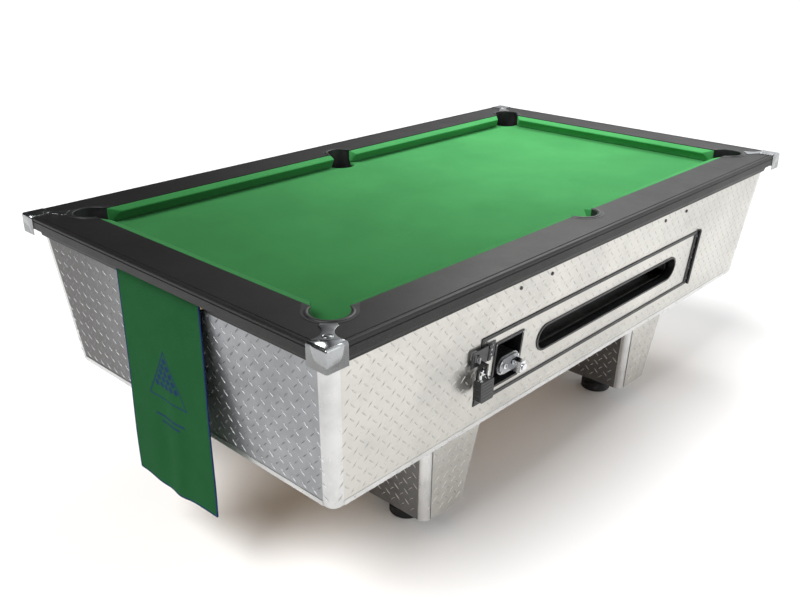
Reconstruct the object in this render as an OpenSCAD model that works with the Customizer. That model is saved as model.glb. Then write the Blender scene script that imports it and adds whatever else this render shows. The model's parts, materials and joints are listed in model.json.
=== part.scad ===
// Coin-operated seven-foot pool table: bolted timber cabinet clad in tread plate, slate bed,
// six pockets, ball runways, release flap, coin mechanism, access door, padlock and levelling feet.
// X runs along the table, Y across it, Z up. The origin is on the floor under the middle.
// The access door and the ball trough are on the -Y side.

/* [Table] */
// Overall length across the rails
table_len = 2130; // [1770:10:2600]
// Overall width across the rails
table_wid = 1210; // [1010:10:1460]
// Height of the rail top above the floor
table_h = 806; // [760:2:900]

/* [Rails and cushions] */
// Width of a rail, from its outer face to the cushion
rail_w = 120; // [110:1:145]
// Height of the rail's upright outer face
rail_face_h = 30; // [24:1:36]
// Overhang of the rail beyond the top of the cabinet
rail_overhang = 33; // [27:1:38]
// Radius of the bead along the rail's top edge
bead_r = 5; // [3:0.5:6]
// Distance of the decorative groove from the rail's outer face
groove_in = 13; // [11:1:20]
// Projection of the cushion's nose from the rail
cushion_w = 30; // [24:1:36]
// Depth of the playing surface below the rail top
bed_drop = 42; // [38:1:50]

/* [Pockets] */
// Radius of a pocket's opening
pocket_r = 43; // [36:1:52]
// Width of the flange around a pocket liner
liner_flange = 18; // [12:1:21]
// Wall of a pocket liner
liner_wall = 3; // [2.5:0.5:4]
// Distance of a corner pocket's centre in from both rail faces
corner_pocket_in = 129; // [122:1:140]
// Distance of a middle pocket's centre in from the rail face
middle_pocket_in = 124; // [118:1:134]

/* [Bed] */
// Thickness of the slate
slate_t = 19; // [16:1:25]
// Thickness of the cloth
cloth_t = 1.2; // [0.8:0.1:2]

/* [Cabinet] */
// Height of the cabinet's sides
body_h = 371; // [310:1:445]
// Inward lean of each side, from its top to its bottom
body_lean = 39; // [32:1:47]
// Thickness of a plywood panel
panel_t = 18; // [15:1:22]
// Thickness of the tread plate
plate_t = 2.5; // [2:0.5:4]
// Face width of a corner post
post_w = 32; // [28:1:40]
// Radius of a corner post's rounded edge
post_r = 22; // [16:1:26]
// Thickness of the base board
base_t = 12; // [9:1:18]
// Height of the bottom trim on the cabinet's face
trim_h = 12; // [8:1:16]

/* [Legs] */
// Distance of a leg's bottom from the table's end
leg_end_in = 478; // [400:1:560]
// Distance of a leg's bottom from the table's side
leg_side_in = 164; // [140:1:195]
// Length of a leg's bottom along the table
leg_len = 169; // [140:1:200]
// Width of a leg's bottom across the table
leg_wid = 280; // [235:1:330]
// Outward lean of a leg's outer faces, from its bottom to its top
leg_lean = 34; // [24:1:42]
// Clear height under a leg, filled by its foot
leg_clear = 68; // [60:1:80]
// Radius of a levelling foot's pad
foot_r = 50; // [40:1:60]
// Downward travel of a levelling foot
foot_travel = 25; // [15:1:30]

/* [Door] */
// Length of the access door
door_len = 1128; // [940:1:1220]
// Height of the access door
door_h = 190; // [170:1:220]
// Distance of the door's middle from the table's middle
door_mid = 34; // [0:1:60]
// Distance of the door's top below the top of the cabinet
door_drop = 114; // [105:1:130]
// Gap around the door
door_gap = 1.5; // [1:0.5:3]
// Set-back of the door panel's upper and lower edges behind its plate
door_relief = 1.5; // [1:0.5:3]
// Width of the black edging around the door
edging_w = 10; // [6:1:12]
// Length of the ball slot in the door, edging included
slot_len = 758; // [640:1:820]
// Height of the ball slot in the door, edging included
slot_h = 81; // [70:1:95]
// Distance of the ball slot's middle from the table's middle
slot_mid = 96; // [80:1:110]

/* [Coin mechanism] */
// Width of the coin recess
recess_w = 117; // [110:1:130]
// Height of the coin recess
recess_h = 134; // [120:1:145]
// Distance of the recess from the door's free edge
recess_in = 60; // [55:1:70]
// Inward travel of the coin slide
coin_travel = 35; // [20:1:40]

/* [Ball runways] */
// Inner radius of the runways
gully_r = 38; // [33:1:40]
// Wall of the runways
gully_t = 4; // [3:0.5:5]
// Diameter of a ball
ball_d = 51; // [47.6:0.2:52.4]

/* [Towel] */
// Width of the hanging towel
towel_w = 345; // [290:5:410]
// Visible length of the hanging towel
towel_len = 580; // [480:2:600]
// Thickness of the towel
towel_t = 4; // [2:0.5:5]

/* [Hidden] */
$fn = 48;

// Cutting allowance past a face
eps = 1;
// Half sizes of the rail frame
half_l = table_len / 2;
half_w = table_wid / 2;
// Levels, from the rail top down
z_top = table_h;
z_bed = z_top - bed_drop;
z_slate_top = z_bed - cloth_t;
z_slate_bot = z_slate_top - slate_t;
z_body_top = z_slate_bot - 0.8;
rail_drop = z_top - z_body_top;
z_body_bot = z_body_top - body_h;
z_base_top = z_body_bot + base_t;
// Cabinet half sizes at its top, and the lean of its sides
body_l = half_l - rail_overhang;
body_w = half_w - rail_overhang;
lean = body_lean / body_h;
lean_angle = atan(lean);
// Depth from a cabinet face to the inner side of its panel
wall_t = plate_t + panel_t;
// Adhesive layer between a panel and what is bonded to it
glue = 0.02;
// Ledgers and bearers that carry the slate
ledger_t = 20;
bearer_h = 45;
bearer_w = 40;
bearer_x = [-0.325, -0.155, 0.155, 0.325];
// The slate's gap to the rail's lower moulding
slate_gap = 2;
moulding_t = wall_t - 0.5;
slate_in = rail_overhang + moulding_t + slate_gap;
// Pocket parts
flange_t = 8;
sleeve_r = pocket_r + liner_wall;
slate_hole_r = sleeve_r + 2;
sleeve_drop = 40;
// Runways: their line under the pockets, and their fall
gully_y = -(half_w - (corner_pocket_in + middle_pocket_in) / 2);
gully_out = gully_r + gully_t;
corner_x = half_l - corner_pocket_in;
side_gully_end = corner_x - gully_out - 1;
side_gully_start = -(corner_x + gully_r);
side_gully_z = z_slate_bot - bearer_h - ball_d + gully_r - 20;
side_gully_fall = 38;
side_gully_low = side_gully_z - side_gully_fall;
cross_z = side_gully_low - gully_r - 4;
cross_fall = 14;
cross_end_y = gully_y + gully_out + 4;
runway_z = cross_z - cross_fall - gully_r - 4;
runway_fall = 10;
runway_start = corner_x + gully_r;
flap_x = slot_mid + slot_len / 2 + 7;
runway_end = flap_x + 8;
trough_start = flap_x - 6;
trough_end = slot_mid - slot_len / 2;
trough_z = runway_z - runway_fall - 2;
trough_fall = 8;
// Door and its slot
door_x0 = door_mid - door_len / 2;
door_x1 = door_mid + door_len / 2;
door_z1 = z_body_top - door_drop;
door_z0 = door_z1 - door_h;
slot_z = trough_z + 18;
slot_trim = 6;
edging_t = 2.5;
// Coin recess and mechanism
recess_x = door_x0 + recess_in + recess_w / 2;
recess_z = (door_z0 + door_z1) / 2 - 4;
recess_trim = 7;
recess_depth = 45;
mech_w = recess_w - 2 * recess_trim - 11;
mech_h = 50;
mech_z = recess_z - 8;
mech_front = body_y(mech_z) + 12;
bracket_t = 3;
bracket_y = body_y(recess_z - recess_h / 2) - recess_depth - 8;
slide_w = 22;
slide_h = 30;
slide_x = recess_x + 8;
slide_z = mech_z;
slide_fit = 0.1;
// Release rod and flap
axle_r = 4;
axle_fit = 0.05;
axle_z = trough_z - gully_r + ball_d + 20;
flap_angle = 65;
pinion_r = coin_travel * 180 / (flap_angle * PI);
rod_r = 3;
rod_z = axle_z + pinion_r + rod_r;
rod_y = gully_y + gully_out + 12;
pinion_t = 8;
tail_end_y = rod_y - 14;
// Levelling feet
foot_x = half_l - leg_end_in - leg_len / 2;
foot_y = half_w - leg_side_in - leg_wid / 2;
stem_r = 8;
stem_fit = 0.05;
socket_r = 13;
socket_t = 4;
pad_h = 32;
hub_h = 52;
// Hinge of the door
knuckle_r = 4.5;
pin_r = 2;
hinge_x = door_x1 + door_gap / 2;
leaf_t = 1.5;
leaf_w = 14;
hinge_out = knuckle_r + 1;
knuckles = 7;
// Hasp and padlock
hasp_z = door_z1 - 42;
hasp_h = 44;
hasp_pin_x = door_x0 + 26;
hasp_t = 3;
hasp_lift = 6;
hasp_reach = 66;
tab_x = door_x0 - 6;
tab_out = 26;
tab_hole_z = hasp_z - hasp_h / 2 - 6;
shackle_r = 4;
shackle_half = 14;
lock_w = 50;
lock_h = 54;
lock_t = 24;
// Towel, just inside the rail's lower edge
towel_in = 19;
towel_top = z_top - 44;

// Distance of a cabinet side or end from the middle at height z
function body_y(z) = body_w - lean * (z_body_top - z);
function body_x(z) = body_l - lean * (z_body_top - z);

// A solid whose outline in the YZ plane is swept along X from x0 to x1
module along_x(x0, x1) {
    translate([x0, 0, 0]) rotate([90, 0, 90]) linear_extrude(x1 - x0) children();
}

// A solid whose outline in the XZ plane is swept along Y from y0 to y1
module along_y(y0, y1) {
    translate([0, y1, 0]) rotate([90, 0, 0]) linear_extrude(y1 - y0) children();
}

// The slice of the -Y cabinet wall from depth o0 to o1 below its face, between two levels
module side_band(x0, x1, o0, o1, z0, z1) {
    along_x(x0, x1) polygon([
        [-body_y(z0) + o0, z0], [-body_y(z1) + o0, z1],
        [-body_y(z1) + o1, z1], [-body_y(z0) + o1, z0]]);
}

// The tapered block inside the cabinet, set in by ox at the ends and oy at the sides
module core(ox, oy, z0, z1) {
    intersection() {
        along_y(-table_wid, table_wid) polygon([
            [-body_x(z0) + ox, z0], [body_x(z0) - ox, z0],
            [body_x(z1) - ox, z1], [-body_x(z1) + ox, z1]]);
        along_x(-table_len, table_len) polygon([
            [-body_y(z0) + oy, z0], [body_y(z0) - oy, z0],
            [body_y(z1) - oy, z1], [-body_y(z1) + oy, z1]]);
    }
}

// Both long walls, or both end walls, from depth o0 to o1, stopping e short of the corners
module side_walls(o0, o1, e, z0, z1) {
    difference() {
        core(e, o0, z0, z1);
        core(-eps, o1, z0 - eps, z1 + eps);
    }
}

module end_walls(o0, o1, e, z0, z1) {
    difference() {
        core(o0, e, z0, z1);
        core(o1, -eps, z0 - eps, z1 + eps);
    }
}

// The half of its children on the -Y or +Y side (s = -1 or 1)
module half_y(s) {
    intersection() {
        children();
        translate([-table_len, s < 0 ? -table_wid : 0, 0]) cube([2 * table_len, table_wid, 2 * table_h]);
    }
}

// A stadium outline in the XZ plane: overall length, overall height and middle
module stadium(len, h, x, z) {
    translate([x, z]) {
        square([len - h, h], center = true);
        for (s = [-1, 1]) translate([s * (len - h) / 2, 0]) circle(d = h);
    }
}

// ---------------------------------------------------------------- pockets

// Places children at the corner pockets, turned so that +X points into the playing area
module at_corner_pockets() {
    for (sx = [-1, 1], sy = [-1, 1])
        translate([sx * corner_x, sy * (half_w - corner_pocket_in), 0])
            rotate([0, 0, sx < 0 ? -45 * sy : 180 + 45 * sy]) children();
}

module at_middle_pockets() {
    for (sy = [-1, 1])
        translate([0, sy * (half_w - middle_pocket_in), 0]) rotate([0, 0, -90 * sy]) children();
}

module at_pockets() {
    at_corner_pockets() children();
    at_middle_pockets() children();
}

// A U-shaped prism of radius r, open towards +X
module u_prism(r, z0, z1) {
    translate([0, 0, z0]) {
        cylinder(r = r, h = z1 - z0);
        translate([0, -r, 0]) cube([rail_w, 2 * r, z1 - z0]);
    }
}

// The plan of the rail frame, from z0 to z1
module rail_frame_plan(z0, z1) {
    translate([0, 0, z0]) linear_extrude(z1 - z0) difference() {
        square([table_len, table_wid], center = true);
        square([table_len - 2 * rail_w, table_wid - 2 * rail_w], center = true);
    }
}

// One pocket liner at its own pocket: flange, wall and drop sleeve
module liner() {
    difference() {
        union() {
            u_prism(pocket_r + liner_flange, z_top - flange_t, z_top + 0.6);
            u_prism(sleeve_r, z_bed, z_top - flange_t);
        }
        u_prism(pocket_r, z_bed - eps, z_top + 2);
    }
}

// The round sleeve under a liner; its playing side stops below the cloth
module liner_sleeve() {
    difference() {
        translate([0, 0, z_bed - sleeve_drop]) cylinder(r = sleeve_r, h = sleeve_drop);
        translate([0, 0, z_bed - sleeve_drop - eps]) cylinder(r = pocket_r, h = sleeve_drop + 2 * eps);
        translate([0, -sleeve_r - eps, z_bed - flange_t]) cube([2 * sleeve_r, 2 * sleeve_r + 2 * eps, flange_t + eps]);
    }
}

module corner_pocket_liners() {
    color("#1c1c1e") {
        intersection() {
            at_corner_pockets() liner();
            rail_frame_plan(z_bed, z_top + 2);
        }
        at_corner_pockets() liner_sleeve();
    }
}

module middle_pocket_liners() {
    color("#1c1c1e") {
        intersection() {
            at_middle_pockets() liner();
            rail_frame_plan(z_bed, z_top + 2);
        }
        at_middle_pockets() liner_sleeve();
    }
}

// ---------------------------------------------------------------- rails, caps and cushions

// Section of a rail: u runs in from its outer face, v up from the floor
module rail_section() {
    difference() {
        union() {
            translate([0, z_top - rail_face_h]) square([rail_w, rail_face_h]);
            translate([0, z_body_top]) square([rail_overhang + moulding_t, rail_drop - rail_face_h + 0.01]);
            translate([rail_overhang, z_bed]) square([rail_w - rail_overhang, bed_drop]);
        }
        // Cove under the overhang
        translate([0, z_body_top]) intersection() {
            circle(r = rail_overhang - 2, $fn = 96);
            square(rail_overhang);
        }
        translate([-eps, z_body_top - eps]) square([rail_overhang + eps - 2, eps + 3]);
        // Rounded top edge
        translate([-eps, z_top - bead_r]) difference() {
            square(bead_r + eps);
            translate([bead_r + eps, 0]) circle(r = bead_r);
        }
        // Groove inside the bead, and the shadow line under it
        translate([groove_in, z_top]) circle(r = 2);
        translate([0, z_top - 2 * bead_r]) circle(r = 2);
    }
}

// The rail along the -Y side, mitred at 45 degrees at both ends
module long_rail() {
    difference() {
        intersection() {
            along_x(-half_l, half_l) translate([-half_w, 0]) rail_section();
            linear_extrude(2 * table_h) polygon([
                [-half_l, -half_w], [half_l, -half_w],
                [half_l - rail_w, -half_w + rail_w], [-half_l + rail_w, -half_w + rail_w]]);
        }
        rail_pocket_cuts();
    }
}

// The rail along the -X end
module end_rail() {
    difference() {
        intersection() {
            along_y(-half_w, half_w) translate([-half_l, 0]) rail_section();
            linear_extrude(2 * table_h) polygon([
                [-half_l, -half_w], [-half_l + rail_w, -half_w + rail_w],
                [-half_l + rail_w, half_w - rail_w], [-half_l, half_w]]);
        }
        rail_pocket_cuts();
    }
}

module rail_pocket_cuts() {
    at_pockets() {
        u_prism(pocket_r + liner_flange, z_top - flange_t, z_top + eps);
        u_prism(sleeve_r, z_body_top - eps, z_top);
    }
}

module rail_front() { color("#232326") long_rail(); }

module rail_back() { color("#232326") mirror([0, 1, 0]) long_rail(); }

module rail_left() { color("#232326") end_rail(); }

module rail_right() { color("#232326") mirror([1, 0, 0]) end_rail(); }

// Plan of a corner cap in its own quarter: a square foot that narrows to a neck at the pocket
cap_len = 57;
cap_drop = 50;
cap_neck = 84;
cap_bite_r = 44.7;
cap_t = 1.5;

module cap_plan() {
    difference() {
        square(cap_neck);
        for (m = [0, 1]) mirror([m, -m]) {
            translate([100, 20]) circle(r = cap_bite_r, $fn = 96);
            translate([cap_len, -eps]) square([cap_neck, 11 + eps]);
        }
        translate([corner_pocket_in, corner_pocket_in]) circle(r = pocket_r + liner_flange + 0.5, $fn = 96);
    }
}

// The cap on the -X -Y corner: a plate over both rails and a skirt down each outer face
module corner_cap() {
    translate([-half_l, -half_w, 0]) {
        translate([0, 0, z_top]) linear_extrude(cap_t) cap_plan();
        translate([0, 0, z_top - cap_drop]) linear_extrude(cap_drop + cap_t) difference() {
            union() {
                translate([-cap_t, 0]) square([cap_t, cap_len]);
                translate([0, -cap_t]) square([cap_len, cap_t]);
                circle(r = cap_t);
            }
            square(cap_len);
        }
    }
}

module corner_caps() {
    color("#c9ccd0") for (mx = [0, 1], my = [0, 1])
        mirror([mx, 0, 0]) mirror([0, my, 0]) corner_cap();
}

// Section of a cushion: u runs out from the rail to the nose
module cushion_section() {
    translate([0, z_top]) polygon([
        [0, -2], [cushion_w - 3, -7.5], [cushion_w, -10], [cushion_w - 3, -13.5],
        [cushion_w / 3, -bed_drop + 1], [0, -bed_drop + 1]]);
}

// Where a cushion ends beside a corner pocket, measured in from the rail face
jaw_in = rail_w + pocket_r * sqrt(2);
middle_jaw = pocket_r;
middle_flare = 10;

// Left half of the front cushion, between the corner and the middle pocket
module half_side_cushion() {
    y0 = -half_w + rail_w;
    intersection() {
        along_x(-half_l, 0) translate([y0, 0]) cushion_section();
        linear_extrude(2 * table_h) polygon([
            [-half_l + jaw_in, y0], [-middle_jaw, y0],
            [-middle_jaw - middle_flare, y0 + cushion_w], [-half_l + jaw_in + cushion_w, y0 + cushion_w]]);
    }
}

module end_cushion() {
    x0 = -half_l + rail_w;
    intersection() {
        along_y(-half_w, half_w) translate([x0, 0]) cushion_section();
        linear_extrude(2 * table_h) polygon([
            [x0, -half_w + jaw_in], [x0 + cushion_w, -half_w + jaw_in + cushion_w],
            [x0 + cushion_w, half_w - jaw_in - cushion_w], [x0, half_w - jaw_in]]);
    }
}

module cushion_front_left() { color("#2f8f4a") half_side_cushion(); }

module cushion_front_right() { color("#2f8f4a") mirror([1, 0, 0]) half_side_cushion(); }

module cushion_back_left() { color("#2f8f4a") mirror([0, 1, 0]) half_side_cushion(); }

module cushion_back_right() { color("#2f8f4a") mirror([1, 0, 0]) mirror([0, 1, 0]) half_side_cushion(); }

module cushion_left() { color("#2f8f4a") end_cushion(); }

module cushion_right() { color("#2f8f4a") mirror([1, 0, 0]) end_cushion(); }

// ---------------------------------------------------------------- bed

module bed_plan(z0, z1) {
    difference() {
        translate([0, 0, (z0 + z1) / 2])
            cube([table_len - 2 * slate_in, table_wid - 2 * slate_in, z1 - z0], center = true);
        at_pockets() translate([0, 0, z0 - eps]) cylinder(r = slate_hole_r, h = z1 - z0 + 2 * eps);
    }
}

module bed_cloth() { color("#3c9a52") bed_plan(z_slate_top, z_bed); }

module slate_bed() { color("#5a5f66") bed_plan(z_slate_bot, z_slate_top); }

// Cross bearers under the slate, cut to the lean of the ledgers
module slate_bearers() {
    color("#b98f5c") intersection() {
        core(wall_t, wall_t + ledger_t, z_slate_bot - bearer_h, z_slate_bot);
        for (f = bearer_x)
            translate([f * table_len - bearer_w / 2, -table_wid, 0]) cube([bearer_w, 2 * table_wid, table_h]);
    }
}

// Ledgers fixed inside the four panels
module slate_ledgers() {
    z0 = z_slate_bot - bearer_h;
    color("#b98f5c") {
        side_walls(wall_t + glue, wall_t + ledger_t, post_w, z0, z_slate_bot);
        end_walls(wall_t + glue, wall_t + ledger_t, wall_t + ledger_t + 1, z0, z_slate_bot);
    }
}

// ---------------------------------------------------------------- cabinet

module door_opening(o0, o1) {
    side_band(door_x0 - door_gap, door_x1 + door_gap, o0, o1, door_z0 - door_gap, door_z1 + door_gap);
}

module front_panel() {
    color("#a9824f") difference() {
        half_y(-1) side_walls(plate_t + glue, wall_t, post_w, z_body_bot, z_body_top);
        door_opening(-eps, wall_t + eps);
    }
}

module back_panel() {
    color("#a9824f") half_y(1) side_walls(plate_t + glue, wall_t, post_w, z_body_bot, z_body_top);
}

module end_panels() {
    color("#a9824f") end_walls(plate_t + glue, wall_t, post_w, z_body_bot, z_body_top);
}

module front_tread_plate() {
    color("#c8c9c6") difference() {
        half_y(-1) side_walls(0, plate_t, post_w, z_body_bot, z_body_top);
        door_opening(-eps, plate_t + eps);
    }
}

module back_tread_plate() {
    color("#c8c9c6") half_y(1) side_walls(0, plate_t, post_w, z_body_bot, z_body_top);
}

module end_tread_plates() {
    color("#b9bcc0") end_walls(0, plate_t, post_w, z_body_bot, z_body_top);
}

// A corner post in the -X -Y corner, its outer edge rounded by a cylinder that leans with it
module corner_post() {
    edge_len = body_h * sqrt(1 + 2 * lean * lean);
    in_r = post_r * sqrt(1 + lean * lean);
    intersection() {
        difference() {
            core(0, 0, z_body_bot, z_body_top);
            core(post_w, -eps, z_body_bot - eps, z_body_top + eps);
            core(-eps, post_w, z_body_bot - eps, z_body_top + eps);
        }
        translate([-table_len, -table_wid, 0]) cube([table_len, table_wid, 2 * table_h]);
        union() {
            core(in_r, -eps, z_body_bot - eps, z_body_top + eps);
            core(-eps, in_r, z_body_bot - eps, z_body_top + eps);
            translate([-body_x(z_body_bot) + in_r, -body_y(z_body_bot) + in_r, z_body_bot])
                rotate([0, 0, 225]) rotate([0, atan(lean * sqrt(2)), 0])
                    translate([0, 0, -post_w]) cylinder(r = post_r, h = edge_len + 2 * post_w);
        }
    }
}

module corner_posts() {
    color("#d7d9da") for (mx = [0, 1], my = [0, 1])
        mirror([mx, 0, 0]) mirror([0, my, 0]) corner_post();
}

// Angle strips round the bottom edge: one flange on the face and one under the panel
trim_t = 1.2;

module bottom_trims() {
    z0 = z_body_bot - trim_t;
    color("#dcdcd8") {
        side_walls(-trim_t, 0, post_w, z0, z_body_bot + trim_h);
        side_walls(0, panel_t, post_w, z0, z_body_bot);
        end_walls(-trim_t, 0, post_w, z0, z_body_bot + trim_h);
        end_walls(0, panel_t, post_w, z0, z_body_bot);
    }
}

module base_board() {
    color("#8d6f49") difference() {
        core(wall_t, wall_t, z_body_bot, z_base_top);
        difference() {
            core(-eps, -eps, z_body_bot - eps, z_base_top + eps);
            core(post_w + 0.5, -eps, z_body_bot - 2 * eps, z_base_top + 2 * eps);
            core(-eps, post_w + 0.5, z_body_bot - 2 * eps, z_base_top + 2 * eps);
        }
    }
}

// Heads of the bolts that hold the rails down, in two pairs on each long side
bolt_x = [-430, -297, 297, 430];

module rail_bolts() {
    color("#3a3a3a") for (m = [0, 1], x = bolt_x) mirror([0, m, 0])
        on_face(door_mid + x, z_body_top - 19) rotate([-90, 0, 0]) cylinder(r = 5, h = 2);
}

// ---------------------------------------------------------------- legs and feet

// Corners of a leg on the +X +Y side at its bottom (top = 0) or at the cabinet (top = 1)
function leg_x0(top) = half_l - leg_end_in - leg_len - 42 * top;
function leg_x1(top) = half_l - leg_end_in + leg_lean * top;
function leg_y0(top) = half_w - leg_side_in - leg_wid - leg_lean * top;
function leg_y1(top) = half_w - leg_side_in + leg_lean * top;
leg_r = 20;

module leg() {
    difference() {
        hull() for (t = [0, 1])
            for (x = [leg_x0(t) + leg_r, leg_x1(t) - leg_r], y = [leg_y0(t) + leg_r, leg_y1(t) - leg_r])
                translate([x, y, t == 0 ? leg_clear : z_body_bot - 0.5]) cylinder(r = leg_r, h = 0.5, $fn = 32);
        translate([foot_x, foot_y, leg_clear - eps]) {
            cylinder(r = socket_r, h = 45 + eps);
            cylinder(r = stem_r + 1, h = 110);
        }
    }
}

module at_legs() {
    for (mx = [0, 1], my = [0, 1]) mirror([mx, 0, 0]) mirror([0, my, 0]) children();
}

module legs() { color("#d2d4d4") at_legs() leg(); }

// Outline of a leg between its lower and upper edges, grown by t, for a pair of opposite faces
function leg_face(a0, b0, a1, b1, t) = [
    [a0 - t, leg_clear], [b0 + t, leg_clear], [b1 + t, z_body_bot - 0.5], [a1 - t, z_body_bot - 0.5]];

// The four tread plates on one leg, between its rounded edges
module leg_plates() {
    c = -leg_r - 3;
    t = 1.6;
    fx = [leg_x0(0), leg_x1(0), leg_x0(1), leg_x1(1)];
    fy = [leg_y0(0), leg_y1(0), leg_y0(1), leg_y1(1)];
    intersection() {
        translate([0, 0, leg_clear + 1]) cube([table_len, table_wid, z_body_bot - leg_clear - 2]);
        union() {
            intersection() {
                along_y(0, table_wid) polygon(leg_face(fx[0], fx[1], fx[2], fx[3], c));
                difference() {
                    along_x(0, table_len) polygon(leg_face(fy[0], fy[1], fy[2], fy[3], t));
                    along_x(-eps, table_len + eps) polygon(leg_face(fy[0], fy[1], fy[2], fy[3], 0));
                }
            }
            intersection() {
                along_x(0, table_len) polygon(leg_face(fy[0], fy[1], fy[2], fy[3], c));
                difference() {
                    along_y(0, table_wid) polygon(leg_face(fx[0], fx[1], fx[2], fx[3], t));
                    along_y(-eps, table_wid + eps) polygon(leg_face(fx[0], fx[1], fx[2], fx[3], 0));
                }
            }
        }
    }
}

module leg_tread_plates() { color("#bfc2c3") at_legs() leg_plates(); }

// Threaded socket in the bottom of a leg
module foot_sockets() {
    color("#8c8f93") at_legs() translate([foot_x, foot_y, leg_clear - socket_t]) difference() {
        union() {
            cylinder(r = 2 * socket_r, h = socket_t);
            cylinder(r = socket_r, h = socket_t + 44);
        }
        translate([0, 0, -eps]) cylinder(r = stem_r + stem_fit, h = 60);
    }
}

module foot(sx, sy) {
    color("#151515") translate([sx * foot_x, sy * foot_y, 0]) {
        rotate_extrude($fn = 64) polygon([
            [0, 0], [foot_r - 2, 0], [foot_r, 3], [foot_r, pad_h - 6], [foot_r - 7, pad_h],
            [30, pad_h + 4], [20, hub_h], [0, hub_h]]);
        cylinder(r = stem_r, h = leg_clear + 100);
    }
}

module foot_front_left() { foot(-1, -1); }

module foot_front_right() { foot(1, -1); }

module foot_back_left() { foot(-1, 1); }

module foot_back_right() { foot(1, 1); }

// ---------------------------------------------------------------- ball runways

// Half pipe in the YZ plane, open upwards, centred on its axis
module half_pipe() {
    difference() {
        circle(r = gully_out);
        circle(r = gully_r);
        translate([-2 * gully_out, 0]) square(4 * gully_out);
    }
}

// A runway along X from x0 to x1 that falls by fall, with its axis at height z at x0
module runway_x(x0, x1, y, z, fall) {
    a = atan(fall / abs(x1 - x0));
    translate([x0, y, z]) rotate([0, x1 > x0 ? a : 0, x1 > x0 ? 0 : 180]) rotate([0, x1 > x0 ? 0 : a, 0])
        rotate([90, 0, 90]) linear_extrude(abs(x1 - x0) / cos(a)) half_pipe();
}

// The two long runways under the pockets, hung from the bearers
module side_gullies() {
    drop = side_gully_fall / (side_gully_end - side_gully_start);
    color("#2a2c30") for (s = [-1, 1]) {
        runway_x(side_gully_start, side_gully_end, -s * gully_y, side_gully_z, side_gully_fall);
        for (f = bearer_x) {
            z = side_gully_z - drop * (f * table_len - side_gully_start);
            translate([f * table_len - 10, s < 0 ? -gully_y - gully_out - 2.5 : gully_y + gully_out - 1.5, z - 10])
                cube([20, 4, z_slate_bot - bearer_h - z + 10]);
        }
    }
}

// The runway across the +X end, from the back to the front
module cross_gully() {
    y0 = -gully_y + gully_r;
    a = atan(cross_fall / (y0 - cross_end_y));
    color("#2a2c30") {
        translate([corner_x, y0, cross_z]) rotate([a, 0, 0]) rotate([90, 0, 0])
            linear_extrude((y0 - cross_end_y) / cos(a)) half_pipe();
        for (y = [-200, 200]) translate([corner_x + gully_out - 2, y, cross_z - 12])
            cube([4, 30, z_slate_bot - cross_z + 12]);
    }
}

// The runway that holds the balls at the closed flap
module return_runway() {
    color("#2a2c30") {
        runway_x(runway_start, runway_end, gully_y, runway_z, runway_fall);
        // Stop plate, standing in the pipe just inside its closed end
        translate([runway_start - gully_t - 3, gully_y - gully_r / 3, runway_z - gully_r - 1])
            cube([gully_t, 2 * gully_r / 3, gully_r]);
        for (x = [runway_end + 30, runway_start - 60])
            runway_post(x, runway_z - runway_fall * (runway_start - x) / (runway_start - runway_end));
    }
}

// A post from the base board to the underside of a runway whose axis is at height z there
module runway_post(x, z) {
    translate([x, gully_y - 15, z_base_top]) cube([20, 30, z - gully_r - 1.5 - z_base_top]);
}

// Height of the trough's axis at x
function trough_at(x) = trough_z - trough_fall * (trough_start - x) / (trough_start - trough_end);

// Trough behind the ball slot: low front lip, high back, ears for the flap's axle
module ball_trough() {
    a = atan(trough_fall / (trough_start - trough_end));
    lip = slot_z - slot_h / 2 + slot_trim;
    color("#17181a") difference() {
        union() {
            difference() {
                runway_x(trough_start, trough_end, gully_y, trough_z, trough_fall);
                translate([trough_end - 2 * gully_t, gully_y - 2 * gully_out, lip])
                    cube([trough_start - 10 - trough_end + 2 * gully_t, 2 * gully_out, 2 * gully_out]);
            }
            // Closed far end, up to the lip
            translate([trough_end - gully_t, gully_y - gully_r, trough_at(trough_end) - gully_r])
                cube([gully_t + 3, 2 * gully_r, lip - trough_at(trough_end) + gully_r]);
            for (x = [trough_end + 60, trough_start - 80]) runway_post(x, trough_at(x));
            // Ears that carry the axle
            for (y = [gully_y - gully_out, gully_y + gully_out - gully_t])
                translate([flap_x - 14, y, trough_z - 10]) cube([22, gully_t, axle_z - trough_z + 22]);
            // Guides for the release rod
            for (x = [trough_end + 40, trough_start - 120]) {
                translate([x, gully_y + gully_r + 1, trough_at(x) - 8])
                    cube([12, gully_t - 1, rod_z - trough_at(x) + 18]);
                translate([x, gully_y + gully_out - 1, rod_z - 8])
                    cube([12, rod_y - gully_y - gully_out + 9, 16]);
            }
        }
        translate([flap_x, gully_y - 2 * gully_out, axle_z]) rotate([-90, 0, 0])
            cylinder(r = axle_r + axle_fit, h = 4 * gully_out);
        translate([trough_end, rod_y, rod_z]) rotate([0, 90, 0])
            cylinder(r = rod_r + axle_fit, h = trough_start - trough_end);
    }
}

// Flap on its axle: it holds the balls at their middle height; a pinion turns it
module release_flap() {
    flap_h = axle_z - trough_z + gully_r - ball_d / 2 - 5.5;
    flap_r = gully_r - 4;
    axle_end = rod_y + pinion_t / 2 + 3;
    color("#9ea3a8") {
        translate([flap_x, gully_y - gully_out - 3, axle_z]) rotate([-90, 0, 0])
            cylinder(r = axle_r, h = axle_end - gully_y + gully_out + 3);
        translate([flap_x - 1.5, gully_y - flap_r, axle_z - flap_h]) cube([3, 2 * flap_r, flap_h]);
        translate([flap_x, rod_y - pinion_t / 2, axle_z]) rotate([-90, 0, 0])
            cylinder(r = pinion_r - 0.1, h = pinion_t);
    }
}

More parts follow.
